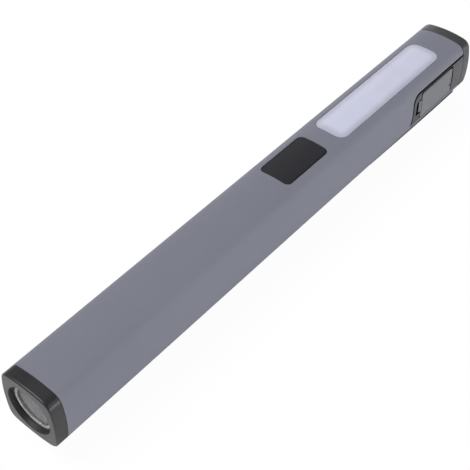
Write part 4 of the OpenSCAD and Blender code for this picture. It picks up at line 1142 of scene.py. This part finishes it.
def make_floor():
    """A pale floor that shows nearly white, with only a trace of its shadow."""
    rest_hands()
    bpy.ops.mesh.primitive_plane_add(size=3.0, location=(0, 0, FLOOR_Z * MM))
    floor = named("floor")
    material = bpy.data.materials.new("pale_floor")
    material.use_nodes = True
    desk = Desk(material.node_tree)
    shader = material.node_tree.nodes["Principled BSDF"]
    shader.inputs["Base Color"].default_value = (0.86, 0.86, 0.86, 1)
    shader.inputs["Roughness"].default_value = 0.9
    shader.inputs["Specular IOR Level"].default_value = 0.1
    shader.inputs["Emission Color"].default_value = (1, 1, 1, 1)
    shader.inputs["Emission Strength"].default_value = 0.12
    glow = desk.add("ShaderNodeEmission", color=(1, 1, 1, 1), strength=1.0)
    share = desk.math("MULTIPLY", seen_directly(desk), FLOOR_GLOW)
    both = desk.add("ShaderNodeMixShader", in0=share, in1=shader.outputs[0], in2=glow.outputs[0])
    desk.feed(desk.tree.nodes["Material Output"].inputs["Surface"], both.outputs[0])
    floor.data.materials.append(material)


def make_world():
    """White where the camera looks at it, and a weaker fill for everything else."""
    world = bpy.data.worlds.new("studio")
    bpy.context.scene.world = world
    world.use_nodes = True
    desk = Desk(world.node_tree)
    world.node_tree.nodes.clear()
    fill = desk.add("ShaderNodeBackground", color=(0.98, 0.99, 1.0, 1), strength=0.45)
    plain = desk.add("ShaderNodeBackground", color=(1, 1, 1, 1), strength=1.0)
    both = desk.add("ShaderNodeMixShader", in0=seen_directly(desk), in1=fill.outputs[0], in2=plain.outputs[0])
    out = desk.add("ShaderNodeOutputWorld")
    desk.feed(out.inputs["Surface"], both.outputs[0])


def softbox(name, place, aim, size, power):
    """A soft lamp of a size in metres and a power in watts, turned towards a point."""
    lamp = bpy.data.lights.new(name, "AREA")
    lamp.shape = "RECTANGLE"
    lamp.size, lamp.size_y = size
    lamp.energy = power
    obj = bpy.data.objects.new(name, lamp)
    bpy.context.scene.collection.objects.link(obj)
    obj.location = place
    obj.rotation_euler = (Vector(aim) - Vector(place)).to_track_quat("-Z", "Y").to_euler()


def make_camera():
    """The camera at the photograph's place and angle."""
    lens = bpy.data.cameras.new("camera")
    lens.sensor_width = FRAME_WIDTH
    lens.lens = FOCAL_LENGTH
    lens.clip_start, lens.clip_end = 0.01, 20.0
    obj = bpy.data.objects.new("camera", lens)
    bpy.context.scene.collection.objects.link(obj)
    right = Vector(CAMERA_RIGHT).normalized()
    ahead = Vector(CAMERA_AHEAD).normalized()
    up = right.cross(ahead).normalized()
    right = ahead.cross(up)
    turn = Matrix((right, up, -ahead)).transposed()
    obj.matrix_world = Matrix.Translation(set_down(*CAMERA_PLACE)) @ turn.to_4x4()
    bpy.context.scene.camera = obj


make_floor()
make_world()
softbox("key", (-0.35, 0.38, 1.0), (0.03, 0, 0.01), (0.6, 0.6), 8.5)
softbox("back", (0.9, 0.9, 0.35), (0, 0, 0.01), (0.5, 0.5), 2.5)
softbox("side", (0.25, -0.8, 0.06), (0.03, 0, 0.01), (1.0, 0.12), 3.5)
softbox("glint", (0.2, -0.75, 0.5), (0, 0, 0.01), (0.09, 0.09), 0.3)
make_camera()
bpy.context.scene.view_settings.view_transform = "Standard"
